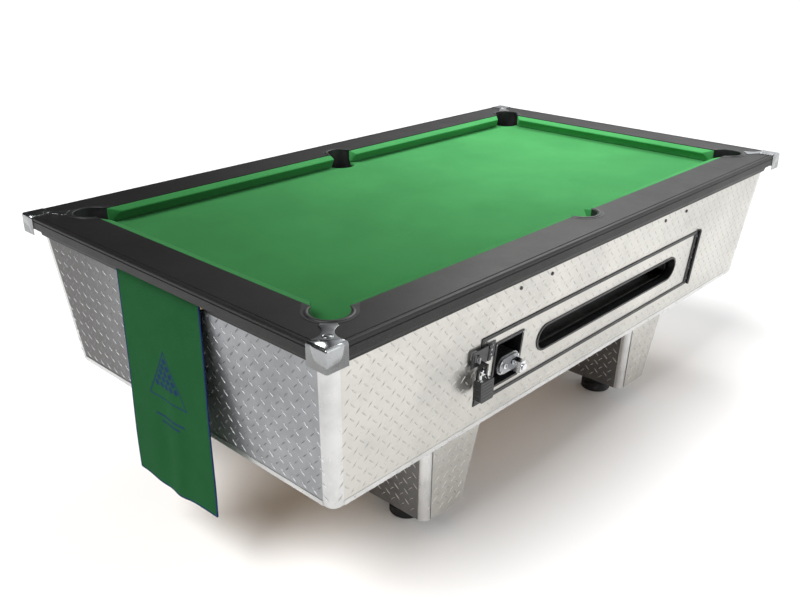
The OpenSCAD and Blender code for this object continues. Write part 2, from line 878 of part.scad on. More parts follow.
// Rod pushed along X by the coin slide's tail, through a wedge at 45 degrees; its rack turns the pinion
module release_rod() {
    wedge_w = 8;
    color("#b4b8bc") {
        translate([slide_x, rod_y, rod_z]) rotate([0, 90, 0]) cylinder(r = rod_r, h = flap_x + 12 - slide_x);
        // The sloping face passes just clear of the tail's corner
        translate([slide_x + 5, tail_end_y + 0.5, slide_z - 8]) linear_extrude(rod_z + rod_r - slide_z + 8) polygon([
            [0, 0], [wedge_w, 0], [wedge_w, coin_travel + 6],
            [-coin_travel - 1, coin_travel + 6], [-coin_travel - 1, coin_travel + 1]]);
    }
}

// ---------------------------------------------------------------- door

module slot_prism(len, h) { along_y(-table_wid, 0) stadium(len, h, slot_mid, slot_z); }

module recess_prism(trim) {
    translate([recess_x - recess_w / 2 + trim, -table_wid, recess_z - recess_h / 2 + trim])
        cube([recess_w - 2 * trim, table_wid, recess_h - 2 * trim]);
}

module door_slab(o0, o1) {
    difference() {
        side_band(door_x0, door_x1, o0, o1, door_z0, door_z1);
        slot_prism(slot_len - slot_trim, slot_h - slot_trim);
        recess_prism(recess_trim - 3);
    }
}

// Its upper and lower edges are set back behind the plate's, to clear the opening as the door swings out
module door_panel() {
    color("#a9824f") intersection() {
        door_slab(plate_t + glue, wall_t);
        side_band(door_x0, door_x1, 0, wall_t, door_z0 + door_relief, door_z1 - door_relief);
    }
}

module door_tread_plate() { color("#cccdca") door_slab(0, plate_t); }

// Black moulding round the door's edge; it stops short of the hinge
module door_edging() {
    w = edging_w;
    color("#161616") difference() {
        side_band(door_x0, door_x1, -edging_t, 0, door_z0, door_z1);
        side_band(door_x0 + w, door_x1 - w - leaf_w, -edging_t - eps, eps, door_z0 + w, door_z1 - w);
        side_band(door_x1 - leaf_w, door_x1 + eps, -edging_t - eps, eps, door_z0 - eps, door_z1 + eps);
    }
}

// Lining of the ball slot: a flange on the face and a sleeve through the door
module slot_edging() {
    color("#161616") {
        intersection() {
            side_band(door_x0, door_x1, -edging_t, 0, door_z0, door_z1);
            difference() {
                slot_prism(slot_len, slot_h);
                slot_prism(slot_len - 2 * slot_trim, slot_h - 2 * slot_trim);
            }
        }
        intersection() {
            side_band(door_x0, door_x1, 0, wall_t, door_z0, door_z1);
            difference() {
                slot_prism(slot_len - slot_trim, slot_h - slot_trim);
                slot_prism(slot_len - 2 * slot_trim, slot_h - 2 * slot_trim);
            }
        }
    }
}

// Black box round the coin recess: a flange on the face and four walls behind it
module recess_frame() {
    color("#1b1b1d") {
        intersection() {
            side_band(door_x0, door_x1, -edging_t, 0, door_z0, door_z1);
            difference() {
                recess_prism(0);
                recess_prism(recess_trim);
            }
        }
        intersection() {
            side_band(door_x0, door_x1, 0, recess_depth, door_z0, door_z1);
            difference() {
                recess_prism(recess_trim - 3);
                recess_prism(recess_trim);
            }
        }
    }
}

// Places children on the door's hinge line, with Z along the line from the door's bottom
module at_hinge() {
    translate([hinge_x, -body_y(door_z0), door_z0]) rotate([lean_angle, 0, 0])
        translate([0, -hinge_out, 0]) children();
}

hinge_len = door_h / cos(lean_angle);
knuckle_len = hinge_len / knuckles;

// Every second knuckle, from the given first one
module hinge_knuckles(first, bore_r) {
    for (i = [first:2:knuckles - 1]) translate([0, 0, i * knuckle_len + 0.2]) difference() {
        cylinder(r = knuckle_r, h = knuckle_len - 0.4);
        translate([0, 0, -eps]) cylinder(r = bore_r, h = knuckle_len + 2 * eps);
    }
}

module door_hinge_leaf() {
    color("#1d1d1f") at_hinge() {
        hinge_knuckles(1, pin_r + 0.05);
        for (i = [1:2:knuckles - 1]) translate([-leaf_w, hinge_out - leaf_t - 0.2, i * knuckle_len + 0.2])
            cube([leaf_w, leaf_t, knuckle_len - 0.4]);
        for (i = [1:2:knuckles - 1]) translate([-knuckle_r, 0.5 + pin_r, i * knuckle_len + 0.2])
            cube([knuckle_r, hinge_out - pin_r - 0.7, knuckle_len - 0.4]);
        translate([-leaf_w, hinge_out - leaf_t - 0.2, 0.2]) cube([leaf_w - knuckle_r - 1, leaf_t + 0.2, hinge_len - 0.4]);
    }
}

module frame_hinge_leaf() {
    color("#1d1d1f") at_hinge() {
        hinge_knuckles(0, pin_r - 0.5);
        cylinder(r = pin_r, h = hinge_len);
        for (i = [0:2:knuckles - 1]) translate([0, 0.5 + pin_r, i * knuckle_len + 0.2])
            cube([knuckle_r + 2, hinge_out - pin_r - 0.7, knuckle_len - 0.4]);
        translate([knuckle_r + 1, hinge_out - leaf_t - 0.2, 0.2]) cube([leaf_w - knuckle_r, leaf_t + 0.2, hinge_len - 0.4]);
    }
}

// ---------------------------------------------------------------- hasp and padlock

// Places children on the cabinet's front face at height z, with Y along the outward normal
module on_face(x, z) {
    translate([x, -body_y(z), z]) rotate([lean_angle, 0, 0]) rotate([0, 0, 180]) children();
}

hasp_pin_out = hasp_lift + hasp_t / 2;

// Plate on the door that carries the hasp's pin
module hasp_base() {
    color("#202124") on_face(hasp_pin_x, hasp_z) {
        translate([-30, 0, -hasp_h / 2]) cube([26, 2.5, hasp_h]);
        for (z = [-hasp_h / 2, hasp_h / 2 - 8]) translate([-8, 0, z]) cube([11, hasp_pin_out + 3, 8]);
        translate([0, hasp_pin_out, -hasp_h / 2]) cylinder(r = 2.5, h = hasp_h);
    }
}

// Swinging leaf: it laps over the door's edge and the staple, and a tab on it carries the padlock
module hasp_leaf() {
    reach = hasp_reach;
    hub_h2 = hasp_h - 17;
    color("#202124") on_face(hasp_pin_x, hasp_z) {
        difference() {
            union() {
                translate([0, hasp_pin_out, -hub_h2 / 2]) cylinder(r = 4.5, h = hub_h2);
                translate([0, hasp_lift, -hub_h2 / 2]) cube([8, hasp_t, hub_h2]);
                translate([6, hasp_lift, -hasp_h / 2]) cube([reach - 6, hasp_t, hasp_h]);
                translate([hasp_pin_x - tab_x - 3, hasp_lift, -hasp_h / 2 - 14]) cube([6, tab_out, 26]);
            }
            translate([0, hasp_pin_out, -hasp_h]) cylinder(r = 2.55, h = 2 * hasp_h);
            // Slot over the staple
            translate([hasp_pin_x - tab_x + 9, 0, -12]) cube([14, tab_out, 24]);
            // Hole for the shackle
            translate([hasp_pin_x - tab_x - 10, hasp_lift + tab_out - 9, -hasp_h / 2 - 5]) rotate([0, 90, 0])
                cylinder(r = shackle_r + 1.5, h = 20);
        }
    }
}

// Staple on the cabinet that stands through the leaf's slot
module hasp_staple() {
    x = hasp_pin_x - tab_x + 16;
    color("#3b3c40") on_face(hasp_pin_x, hasp_z) {
        translate([x - 6, 0, -18]) cube([12, 2, 36]);
        difference() {
            translate([x - 2.5, 0, -8]) cube([5, hasp_lift + hasp_t + 10, 16]);
            translate([x - 5, hasp_lift + hasp_t + 2, -4]) cube([10, 5, 8]);
        }
    }
}

// Centre of the shackle's hole in the tab
function lock_y() = -body_y(hasp_z) - (hasp_lift + tab_out - 9) * cos(lean_angle) - (hasp_h / 2 + 5) * -sin(lean_angle);
function lock_z() = hasp_z - (hasp_h / 2 + 5) * cos(lean_angle) - (hasp_lift + tab_out - 9) * sin(lean_angle);
shackle_leg = 26;

module padlock_shackle() {
    color("#c7cacd") translate([tab_x, lock_y(), lock_z()]) {
        translate([0, 0, -shackle_half - 1]) rotate([90, 0, 0]) rotate_extrude(angle = 180)
            translate([shackle_half, 0]) circle(r = shackle_r);
        for (s = [-1, 1]) translate([s * shackle_half, 0, -shackle_half - 1 - shackle_leg])
            cylinder(r = shackle_r, h = shackle_leg);
    }
}

module padlock_body() {
    z1 = lock_z() - shackle_half - 1 - shackle_leg + 14;
    color("#1a1a1c") difference() {
        translate([tab_x, lock_y(), z1 - lock_h]) {
            translate([-lock_w / 2, -lock_t / 2, 6]) cube([lock_w, lock_t, lock_h - 6]);
            translate([-lock_w / 2 + 6, -lock_t / 2, 0]) cube([lock_w - 12, lock_t, lock_h]);
            for (s = [-1, 1]) translate([s * (lock_w / 2 - 6), lock_t / 2, 6]) rotate([90, 0, 0]) cylinder(r = 6, h = lock_t);
        }
        for (s = [-1, 1]) translate([tab_x + s * shackle_half, lock_y(), z1 - 14]) cylinder(r = shackle_r, h = 20);
    }
}

// ---------------------------------------------------------------- coin mechanism

// Rounded body of the mechanism, with the slide's passage through it
module coin_mech_body() {
    color("#9b9ea2") difference() {
        union() {
            along_y(-mech_front + 6, -bracket_y - bracket_t) stadium(mech_w, mech_h, recess_x, mech_z);
            along_y(-mech_front, -mech_front + 6) stadium(mech_w - 8, mech_h - 8, recess_x, mech_z);
        }
        translate([slide_x - slide_w / 2 - slide_fit, -mech_front - eps, slide_z - slide_h / 2 - slide_fit])
            cube([slide_w + 2 * slide_fit, mech_front, slide_h + 2 * slide_fit]);
    }
}

// Portal that carries the mechanism; the cash box slides out through its lower window
module coin_mech_bracket() {
    w = mech_w + 60;
    color("#26272a") difference() {
        union() {
            translate([recess_x - w / 2, -bracket_y - bracket_t, z_base_top])
                cube([w, bracket_t, mech_z + mech_h / 2 + 12 - z_base_top]);
            translate([recess_x - w / 2, -bracket_y - bracket_t, z_base_top]) cube([w, 24, bracket_t]);
        }
        translate([recess_x - mech_w / 2 - 12, -bracket_y - 40, z_base_top - eps]) cube([mech_w + 24, 80, cash_h + 6]);
        translate([slide_x - slide_w / 2 - 2, -bracket_y - 40, slide_z - slide_h / 2 - 2])
            cube([slide_w + 4, 80, slide_h + 4]);
    }
}

// Coin slide: chromed handle, bar through the body, and a tail that pushes the rod's wedge
module coin_slide() {
    front = mech_front + 34;
    bar_end = bracket_y + bracket_t + 6;
    color("#d9dcdf") {
        translate([slide_x - slide_w / 2, -front, slide_z - slide_h / 2]) cube([slide_w, front - bar_end, slide_h]);
        translate([slide_x - 4, -bar_end - eps, slide_z - 6]) cube([8, bar_end + tail_end_y + eps, 12]);
        // Round finger boss on the handle
        translate([slide_x, -front + 1, slide_z]) rotate([90, 0, 0]) cylinder(r = 9, h = 7);
    }
}

cash_h = 64;

// Chute that leads the coins down behind the bracket; the slide's tail passes over its floorless middle
module coin_chute() {
    t = 2;
    z0 = z_base_top + cash_h + 4;
    x0 = slide_x - 36;
    h = mech_z + mech_h / 2 + 8 - z0;
    color("#8f9296") difference() {
        translate([x0, -bracket_y, z0]) cube([60, 44, h]);
        translate([x0 + t, -bracket_y - eps, z0 - eps]) cube([60 - 2 * t, 44 - t + eps, h + 2 * eps]);
        translate([slide_x - 8, -bracket_y, slide_z - 10]) cube([16, 80, 20]);
    }
}

// Open-topped cash box on the base board
module cash_box() {
    w = mech_w + 8;
    d = 110;
    t = 1.5;
    color("#6e7276") translate([recess_x - w / 2, -bracket_y - bracket_t + 1, z_base_top]) difference() {
        cube([w, d, cash_h]);
        translate([t, t, t]) cube([w - 2 * t, d - 2 * t, cash_h]);
    }
}

// ---------------------------------------------------------------- towel

module towel() {
    color("#1f7a3c") translate([-half_l + towel_in, -towel_w / 2, towel_top - towel_len]) cube([towel_t, towel_w, towel_len]);
}

// Batten that clamps the towel's top under the end rail; its top follows the rail's cove
module towel_batten() {
    color("#26262a") along_y(-towel_w / 2, towel_w / 2) translate([-half_l, 0]) intersection() {
        translate([0, z_body_top]) circle(r = rail_overhang - 2, $fn = 96);
        translate([towel_in + towel_t, z_body_top + 8]) square([14, rail_overhang]);
    }
}

rail_front();
rail_back();
rail_left();
rail_right();
corner_caps();
cushion_front_left();
cushion_front_right();
cushion_back_left();
cushion_back_right();
cushion_left();
cushion_right();
corner_pocket_liners();
middle_pocket_liners();
bed_cloth();
slate_bed();
slate_bearers();
slate_ledgers();
front_panel();
back_panel();
end_panels();
front_tread_plate();
back_tread_plate();
end_tread_plates();
corner_posts();
bottom_trims();
base_board();
rail_bolts();
legs();
leg_tread_plates();
foot_sockets();
foot_front_left();
foot_front_right();
foot_back_left();
foot_back_right();
side_gullies();
cross_gully();
return_runway();
ball_trough();
release_flap();
release_rod();
door_panel();
door_tread_plate();
door_edging();
slot_edging();
recess_frame();
door_hinge_leaf();
frame_hinge_leaf();
hasp_base();
hasp_leaf();
hasp_staple();
padlock_shackle();
padlock_body();
coin_mech_body();
coin_mech_bracket();
coin_slide();
coin_chute();
cash_box();
towel();
towel_batten();
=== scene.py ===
import json
import math
import random

import bpy
import bmesh
from mathutils import Matrix, Vector


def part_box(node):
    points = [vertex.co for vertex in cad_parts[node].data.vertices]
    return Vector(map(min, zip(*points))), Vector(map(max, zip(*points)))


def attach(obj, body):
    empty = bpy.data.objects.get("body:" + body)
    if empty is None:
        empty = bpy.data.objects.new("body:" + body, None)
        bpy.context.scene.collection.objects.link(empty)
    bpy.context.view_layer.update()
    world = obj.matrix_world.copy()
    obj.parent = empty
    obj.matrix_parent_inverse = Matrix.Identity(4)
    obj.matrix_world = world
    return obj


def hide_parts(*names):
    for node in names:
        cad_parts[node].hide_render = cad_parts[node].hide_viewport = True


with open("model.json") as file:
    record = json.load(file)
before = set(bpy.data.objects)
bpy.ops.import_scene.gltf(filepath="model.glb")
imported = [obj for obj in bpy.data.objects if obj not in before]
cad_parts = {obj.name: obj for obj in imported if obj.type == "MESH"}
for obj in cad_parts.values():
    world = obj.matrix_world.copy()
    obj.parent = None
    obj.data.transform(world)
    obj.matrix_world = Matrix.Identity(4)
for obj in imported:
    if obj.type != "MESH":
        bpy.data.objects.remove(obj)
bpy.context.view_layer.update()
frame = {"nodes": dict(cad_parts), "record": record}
nodes = frame["nodes"]
random.seed(7)

# ------------------------------------------------------------------ sizes shared with the CAD, in metres
HL, HW, TOP = 1.065, 0.605, 0.806
LEAN = 39 / 371
A = math.atan(LEAN)
Z_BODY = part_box("front_tread_plate")[1][2]
Z_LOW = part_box("front_tread_plate")[0][2]
BODY_L, BODY_W = 1.032, 0.572
POCKET_R = 0.043
CORNER_IN, MIDDLE_IN, RAIL = 0.129, 0.124, 0.120
NOSE = 0.030
CORNERS = [(sx, sy) for sx in (-1, 1) for sy in (-1, 1)]
BOLTS = (-0.396, -0.263, 0.331, 0.464)


def body_y(z):
    return BODY_W - LEAN * (Z_BODY - z)


def body_x(z):
    return BODY_L - LEAN * (Z_BODY - z)


def side_tag(sx, sy):
    return ("front" if sy < 0 else "back") + ("_left" if sx < 0 else "_right")


# ------------------------------------------------------------------ camera, floor and light
def camera():
    position = (-2.0507, -1.7046, 1.5421)
    az, el, roll = math.radians(-47.155), math.radians(23.229), math.radians(0.423)
    fwd = Vector((-math.sin(az) * math.cos(el), math.cos(az) * math.cos(el), -math.sin(el)))
    right = fwd.cross(Vector((0, 0, 1))).normalized()
    up = right.cross(fwd)
    r2 = right * math.cos(roll) + up * math.sin(roll)
    u2 = up * math.cos(roll) - right * math.sin(roll)
    data = bpy.data.cameras.new("camera")
    data.lens = 39.94
    data.sensor_width = 36
    data.clip_end = 100
    cam = bpy.data.objects.new("camera", data)
    bpy.context.scene.collection.objects.link(cam)
    cam.matrix_world = Matrix.Translation(position) @ Matrix((r2, u2, -fwd)).transposed().to_4x4()
    bpy.context.scene.camera = cam


def area_light(name, pos, target, size, power, color):
    data = bpy.data.lights.new(name, "AREA")
    data.shape = "RECTANGLE"
    data.size, data.size_y = size
    data.energy = power
    data.color = color
    lamp = bpy.data.objects.new(name, data)
    bpy.context.scene.collection.objects.link(lamp)
    lamp.location = pos
    lamp.rotation_euler = (Vector(target) - Vector(pos)).to_track_quat("-Z", "Y").to_euler()


def sun_light(direction, power, angle, color):
    data = bpy.data.lights.new("sun", "SUN")
    data.energy = power
    data.angle = math.radians(angle)
    data.color = color
    lamp = bpy.data.objects.new("sun", data)
    bpy.context.scene.collection.objects.link(lamp)
    lamp.rotation_euler = Vector(direction).to_track_quat("-Z", "Y").to_euler()


def world_light():
    """A room lit from the right and front: dim behind the towel end, bright towards the other end."""
    world = bpy.data.worlds.new("world")
    bpy.context.scene.world = world
    world.use_nodes = True
    tree = world.node_tree
    background = next(n for n in tree.nodes if n.type == "BACKGROUND")
    sky = tree.nodes.new("ShaderNodeTexCoord").outputs["Generated"]
    towards = tree.nodes.new("ShaderNodeVectorMath")
    towards.operation = "DOT_PRODUCT"
    towards.inputs[1].default_value = (0.85, -0.50, 0.0)
    tree.links.new(sky, towards.inputs[0])
    band = tree.nodes.new("ShaderNodeMapRange")
    for k, v in (("From Min", 0.02), ("From Max", 0.80), ("To Min", 0.04), ("To Max", 1.40)):
        band.inputs[k].default_value = v
    tree.links.new(towards.outputs["Value"], band.inputs["Value"])
    tree.links.new(band.outputs[0], background.inputs["Strength"])
    background.inputs["Color"].default_value = (0.97, 0.98, 1.0, 1)


def make_floor():
    bm = bmesh.new()
    bmesh.ops.create_grid(bm, x_segments=4, y_segments=4, size=30)
    me = bpy.data.meshes.new("floor")
    bm.to_mesh(me)
    bm.free()
    ob = bpy.data.objects.new("floor", me)
    ob.location = (0, 0, -0.0002)
    bpy.context.scene.collection.objects.link(ob)
    me.materials.append(Mat("floor", (0.90, 0.90, 0.90), 0.75, 0.0, Specular_IOR_Level=0.15).m)


# ------------------------------------------------------------------ material helpers
class Mat:
    """A Principled material with short calls for its procedural nodes."""

    def __init__(self, name, color, rough=0.5, metal=0.0, **values):
        self.m = bpy.data.materials.new(name)
        self.m.use_nodes = True
        self.t = self.m.node_tree
        self.p = next(n for n in self.t.nodes if n.type == "BSDF_PRINCIPLED")
        self.p.inputs["Base Color"].default_value = (*color, 1)
        self.p.inputs["Roughness"].default_value = rough
        self.p.inputs["Metallic"].default_value = metal
        for k, v in values.items():
            self.p.inputs[k.replace("_", " ")].default_value = v
        self.m.diffuse_color = (*color, 1)
        self.co = self.t.nodes.new("ShaderNodeTexCoord").outputs["Object"]

    def link(self, a, b):
        self.t.links.new(a, b)

    def scaled(self, scale, rotate=(0, 0, 0)):
        n = self.t.nodes.new("ShaderNodeMapping")
        self.link(self.co, n.inputs["Vector"])
        n.inputs["Scale"].default_value = scale
        n.inputs["Rotation"].default_value = rotate
        return n.outputs[0]

    def noise(self, scale, detail=3, rough=0.5, vec=None, distort=0.0):
        n = self.t.nodes.new("ShaderNodeTexNoise")
        self.link(vec or self.co, n.inputs["Vector"])
        n.inputs["Scale"].default_value = scale
        n.inputs["Detail"].default_value = detail
        n.inputs["Roughness"].default_value = rough
        n.inputs["Distortion"].default_value = distort
        return n.outputs["Fac"]

    def voronoi(self, scale):
        n = self.t.nodes.new("ShaderNodeTexVoronoi")
        self.link(self.co, n.inputs["Vector"])
        n.inputs["Scale"].default_value = scale
        return n.outputs["Distance"]

    def wave(self, scale, direction="X", distort=0.0):
        n = self.t.nodes.new("ShaderNodeTexWave")
        n.bands_direction = direction
        self.link(self.co, n.inputs["Vector"])
        n.inputs["Scale"].default_value = scale
        n.inputs["Distortion"].default_value = distort
        n.inputs["Detail"].default_value = 2
        return n.outputs["Fac"]

    def ramp(self, fac, stops):
        """Grey stops, each a position and a value."""
        n = self.t.nodes.new("ShaderNodeValToRGB")
        e = n.color_ramp.elements
        while len(e) < len(stops):
            e.new(0.5)
        for i, (pos, c) in enumerate(stops):
            e[i].position = pos
            e[i].color = (c, c, c, 1)
        self.link(fac, n.inputs["Fac"])
        return n.outputs["Color"]

    def mix(self, fac, a, b, blend="MIX"):
        n = self.t.nodes.new("ShaderNodeMix")
        n.data_type = "RGBA"
        n.blend_type = blend
        for i, v in ((0, fac), (6, a), (7, b)):
            if hasattr(v, "is_linked"):
                self.link(v, n.inputs[i])
            elif i == 0:
                n.inputs[i].default_value = v
            else:
                n.inputs[i].default_value = (*v, 1)
        return n.outputs[2]

    def math(self, op, a, b=0.0):
        n = self.t.nodes.new("ShaderNodeMath")
        n.operation = op
        for i, v in enumerate((a, b)):
            if hasattr(v, "is_linked"):
                self.link(v, n.inputs[i])
            else:
                n.inputs[i].default_value = v
        return n.outputs[0]

    def along(self, axis, start, end):
        """0 at start and 1 at end along one of the object's axes, softened with noise."""
        n = self.t.nodes.new("ShaderNodeSeparateXYZ")
        self.link(self.co, n.inputs[0])
        r = self.t.nodes.new("ShaderNodeMapRange")
        r.interpolation_type = "SMOOTHSTEP"
        r.inputs["From Min"].default_value = start
        r.inputs["From Max"].default_value = end
        soft = self.math("MULTIPLY", self.noise(2.5, 3), 0.25)
        self.link(self.math("ADD", n.outputs[axis], soft), r.inputs["Value"])
        return r.outputs[0]

    def attribute(self, name):
        n = self.t.nodes.new("ShaderNodeAttribute")
        n.attribute_name = name
        return n.outputs["Fac"]

    def color(self, out):
        self.link(out, self.p.inputs["Base Color"])
        return self

    def rough(self, out, lo, hi):
        n = self.t.nodes.new("ShaderNodeMapRange")
        self.link(out, n.inputs["Value"])
        n.inputs["To Min"].default_value = lo
        n.inputs["To Max"].default_value = hi
        self.link(n.outputs[0], self.p.inputs["Roughness"])
        return self

    def bump(self, out, distance, strength=1.0):
        n = self.t.nodes.new("ShaderNodeBump")
        n.inputs["Distance"].default_value = distance
        n.inputs["Strength"].default_value = strength
        self.link(out, n.inputs["Height"])
        if self.p.inputs["Normal"].is_linked:
            self.link(self.p.inputs["Normal"].links[0].from_socket, n.inputs["Normal"])
        self.link(n.outputs[0], self.p.inputs["Normal"])
        return self


def cloth_material(name, base, dark, light):
    """Woollen cloth: fine nap over a tight weave, with faint chalk, and painted shade that darkens it towards
    the -X end.
    """
    m = Mat(name, base, 0.92, 0.0, Sheen_Weight=0.08, Sheen_Roughness=0.5, Specular_IOR_Level=0.12)
    m.p.inputs["Sheen Tint"].default_value = (0.45, 1.0, 0.55, 1)
    nap = m.noise(900, 3, 0.6)
    broad = m.noise(3.2, 4, 0.6)
    c = m.mix(m.ramp(broad, [(0.35, 0), (0.68, 1)]), base, light)
    c = m.mix(m.ramp(nap, [(0.35, 0.55), (0.62, 0)]), c, dark)
    # Painted shade: the cloth is multiplied darker towards the -X end and kept near its own colour at the +X
    # end, standing in for light from the far end
    painted_shade_end = m.mix(1.0, c, (0.27, 0.37, 0.30), "MULTIPLY")
    painted_lit_end = m.mix(1.0, c, (1.0, 0.95, 0.98), "MULTIPLY")
    c = m.mix(m.along("X", -0.85, 0.85), painted_shade_end, painted_lit_end)
    specks = m.ramp(m.voronoi(60), [(0.0, 1), (0.035, 0)])
    c = m.mix(m.math("MULTIPLY", specks, 0.25), c, (0.55, 0.72, 0.5))
    m.color(c)
    m.bump(m.wave(420, "X", 0.6), 0.00018, 0.45).bump(m.wave(420, "Y", 0.6), 0.00018, 0.45)
    m.bump(nap, 0.0004, 0.5)
    return m.m


def make_materials():
    out = {}
    # Black laminate: satin, finely speckled, with handling marks
    m = Mat("black_laminate", (0.012, 0.011, 0.011), 0.36, 0.0, Specular_IOR_Level=0.26)
    speck = m.ramp(m.noise(520, 2, 0.6), [(0.54, 0), (0.72, 1)])
    c = m.mix(speck, (0.0060, 0.0056, 0.0054), (0.040, 0.038, 0.038))
    c = m.mix(m.ramp(m.noise(2.5, 4, 0.6), [(0.4, 0), (0.75, 0.6)]), c, (0.016, 0.015, 0.015))
    m.color(c).rough(m.noise(9, 5, 0.65), 0.30, 0.52).bump(m.noise(900, 2), 0.00012, 0.6)
    out["black_laminate"] = m.m
    # Polished casting
    m = Mat("chromed_casting", (0.78, 0.79, 0.81), 0.16, 1.0)
    c = m.mix(m.ramp(m.noise(35, 5, 0.7), [(0.55, 0), (0.75, 1)]), (0.36, 0.372, 0.378), (0.23, 0.238, 0.245))
    m.color(c).rough(m.noise(60, 5, 0.6), 0.10, 0.34).bump(m.noise(140, 3), 0.00025, 0.25)
    out["chromed_casting"] = m.m
    for name, base, dark, light in (
            ("green_cloth", (0.052, 0.295, 0.085), (0.030, 0.20, 0.052), (0.070, 0.365, 0.108)),
            ("green_cushion", (0.056, 0.325, 0.092), (0.030, 0.22, 0.056), (0.078, 0.41, 0.12))):
        out[name] = cloth_material(name, base, dark, light)
    # Slate
    m = Mat("slate", (0.10, 0.11, 0.12), 0.6)
    c = m.mix(m.noise(14, 6, 0.65), (0.07, 0.08, 0.09), (0.16, 0.17, 0.18))
    m.color(c).rough(m.noise(80, 4), 0.5, 0.75).bump(m.noise(200, 4), 0.0005, 0.4)
    out["slate"] = m.m
    # Moulded plastic
    m = Mat("black_moulding", (0.018, 0.018, 0.02), 0.42)
    c = m.mix(m.ramp(m.noise(26, 5, 0.6), [(0.45, 0), (0.8, 1)]), (0.007, 0.007, 0.008), (0.026, 0.026, 0.027))
    m.color(c).rough(m.noise(40, 4, 0.6), 0.32, 0.58).bump(m.noise(1400, 2), 0.0001, 0.5)
    out["black_moulding"] = m.m
    m = Mat("runway_plastic", (0.03, 0.032, 0.036), 0.5)
    c = m.mix(m.ramp(m.noise(18, 5, 0.6), [(0.45, 0), (0.8, 1)]), (0.060, 0.060, 0.058), (0.12, 0.12, 0.115))
    m.color(c).rough(m.noise(30, 4, 0.6), 0.35, 0.65).bump(m.noise(900, 2), 0.0002, 0.5)
    out["runway_plastic"] = m.m
    # Timbers
    for name, a, b in (("plywood", (0.50, 0.34, 0.18), (0.36, 0.22, 0.11)),
                       ("softwood", (0.62, 0.44, 0.25), (0.46, 0.29, 0.14))):
        m = Mat(name, a, 0.6)
        grain = m.noise(60, 6, 0.65, m.scaled((0.06, 1.0, 1.0)), 0.4)
        c = m.mix(m.ramp(grain, [(0.35, 0), (0.65, 1)]), a, b)
        c = m.mix(m.ramp(m.wave(70, "Z", 1.5), [(0.46, 0), (0.5, 0.6), (0.54, 0)]), c, b)
        m.color(c).rough(grain, 0.5, 0.75).bump(grain, 0.0005, 0.4)
        out[name] = m.m
    # Bright tread plate: rolled aluminium with scuffs, fingermarks and dull patches
    m = Mat("tread_plate", (0.58, 0.57, 0.545), 0.3, 0.92)
    dull = m.ramp(m.noise(6, 5, 0.6), [(0.4, 0), (0.7, 1)])
    c = m.mix(dull, (0.555, 0.542, 0.508), (0.46, 0.450, 0.424))
    c = m.mix(m.ramp(m.noise(110, 4, 0.7), [(0.60, 0), (0.75, 0.6)]), c, (0.38, 0.37, 0.355))
    scuff = m.noise(300, 4, 0.6, m.scaled((0.05, 0.05, 1.0), (0.3, 0.2, 0)))
    m.color(c).rough(m.noise(28, 6, 0.65), 0.20, 0.42)
    m.bump(scuff, 0.00015, 0.3).bump(m.noise(24, 3), 0.0008, 0.16)
    out["tread_plate"] = m.m
    # The end sheets get a darker copy of the plate, painted shade for faces turned from the light, with more
    # painted shade towards the back; the plates on the legs' end faces get a darker copy still, also painted
    # shade
    m = Mat("tread_plate_shaded", (0.45, 0.46, 0.48), 0.36, 0.92)
    c = m.mix(m.ramp(m.noise(7, 5, 0.6), [(0.35, 0), (0.7, 1)]), (0.335, 0.345, 0.36), (0.25, 0.255, 0.265))
    # Painted shade: darker towards the back of the end sheets
    c = m.mix(m.along("Y", -0.10, 0.62), c, (0.085, 0.082, 0.08))
    c = m.mix(m.ramp(m.noise(130, 4, 0.7), [(0.58, 0), (0.75, 0.5)]), c, (0.26, 0.26, 0.27))
    m.color(c).rough(m.noise(28, 6, 0.65), 0.24, 0.46)
    scuff = m.noise(300, 4, 0.6, m.scaled((0.05, 0.05, 1.0), (0.3, 0.2, 0)))
    m.bump(scuff, 0.00015, 0.3).bump(m.noise(24, 3), 0.0008, 0.16)
    out["tread_plate_shaded"] = m.m
    # Painted shade: a darker copy of the leg plate for the legs' end faces
    m = Mat("leg_end_shaded", (0.17, 0.172, 0.175), 0.36, 0.92)
    c = m.mix(m.ramp(m.noise(9, 5, 0.6), [(0.35, 0), (0.7, 1)]), (0.18, 0.18, 0.178), (0.12, 0.12, 0.122))
    m.color(c).rough(m.noise(40, 6, 0.65), 0.26, 0.48).bump(m.noise(24, 3), 0.0008, 0.16)
    out["leg_end_shaded"] = m.m
    # The raised bars: painted shade on the lower slopes of one family of bars; on the other family, a painted
    # highlight on the crown and upper slopes on the ends, and a lighter painted shade on the slopes on the
    # sides
    for name, a, b, lo, hi in (("bar_slope_half_shade", (0.46, 0.45, 0.43), (0.34, 0.335, 0.32), 0.26, 0.42),
                               ("bar_highlight", (0.80, 0.80, 0.82), (0.58, 0.59, 0.61), 0.18, 0.34),
                               ("bar_slope_shade", (0.17, 0.162, 0.15), (0.09, 0.086, 0.08), 0.34, 0.55),
                               ("bar_slope_shade_end", (0.20, 0.20, 0.21), (0.11, 0.11, 0.12), 0.34, 0.55)):
        m = Mat(name, a, 0.3, 0.9)
        c = m.mix(m.ramp(m.noise(90, 5, 0.7), [(0.45, 0), (0.7, 1)]), a, b)
        m.color(c).rough(m.noise(150, 5, 0.6), lo, hi).bump(m.noise(900, 3), 0.00006, 0.4)
        out[name] = m.m
    # Corner posts and trims: brushed aluminium
    m = Mat("bright_aluminium", (0.82, 0.82, 0.81), 0.28, 0.95)
    brush = m.noise(500, 3, 0.6, m.scaled((1.0, 1.0, 0.03)))
    c = m.mix(m.ramp(m.noise(12, 5, 0.6), [(0.45, 0), (0.75, 1)]), (0.62, 0.62, 0.615), (0.50, 0.50, 0.495))
    m.color(c).rough(m.noise(40, 5, 0.6), 0.20, 0.40).bump(brush, 0.0001, 0.3)
    out["bright_aluminium"] = out["leg_skin"] = m.m
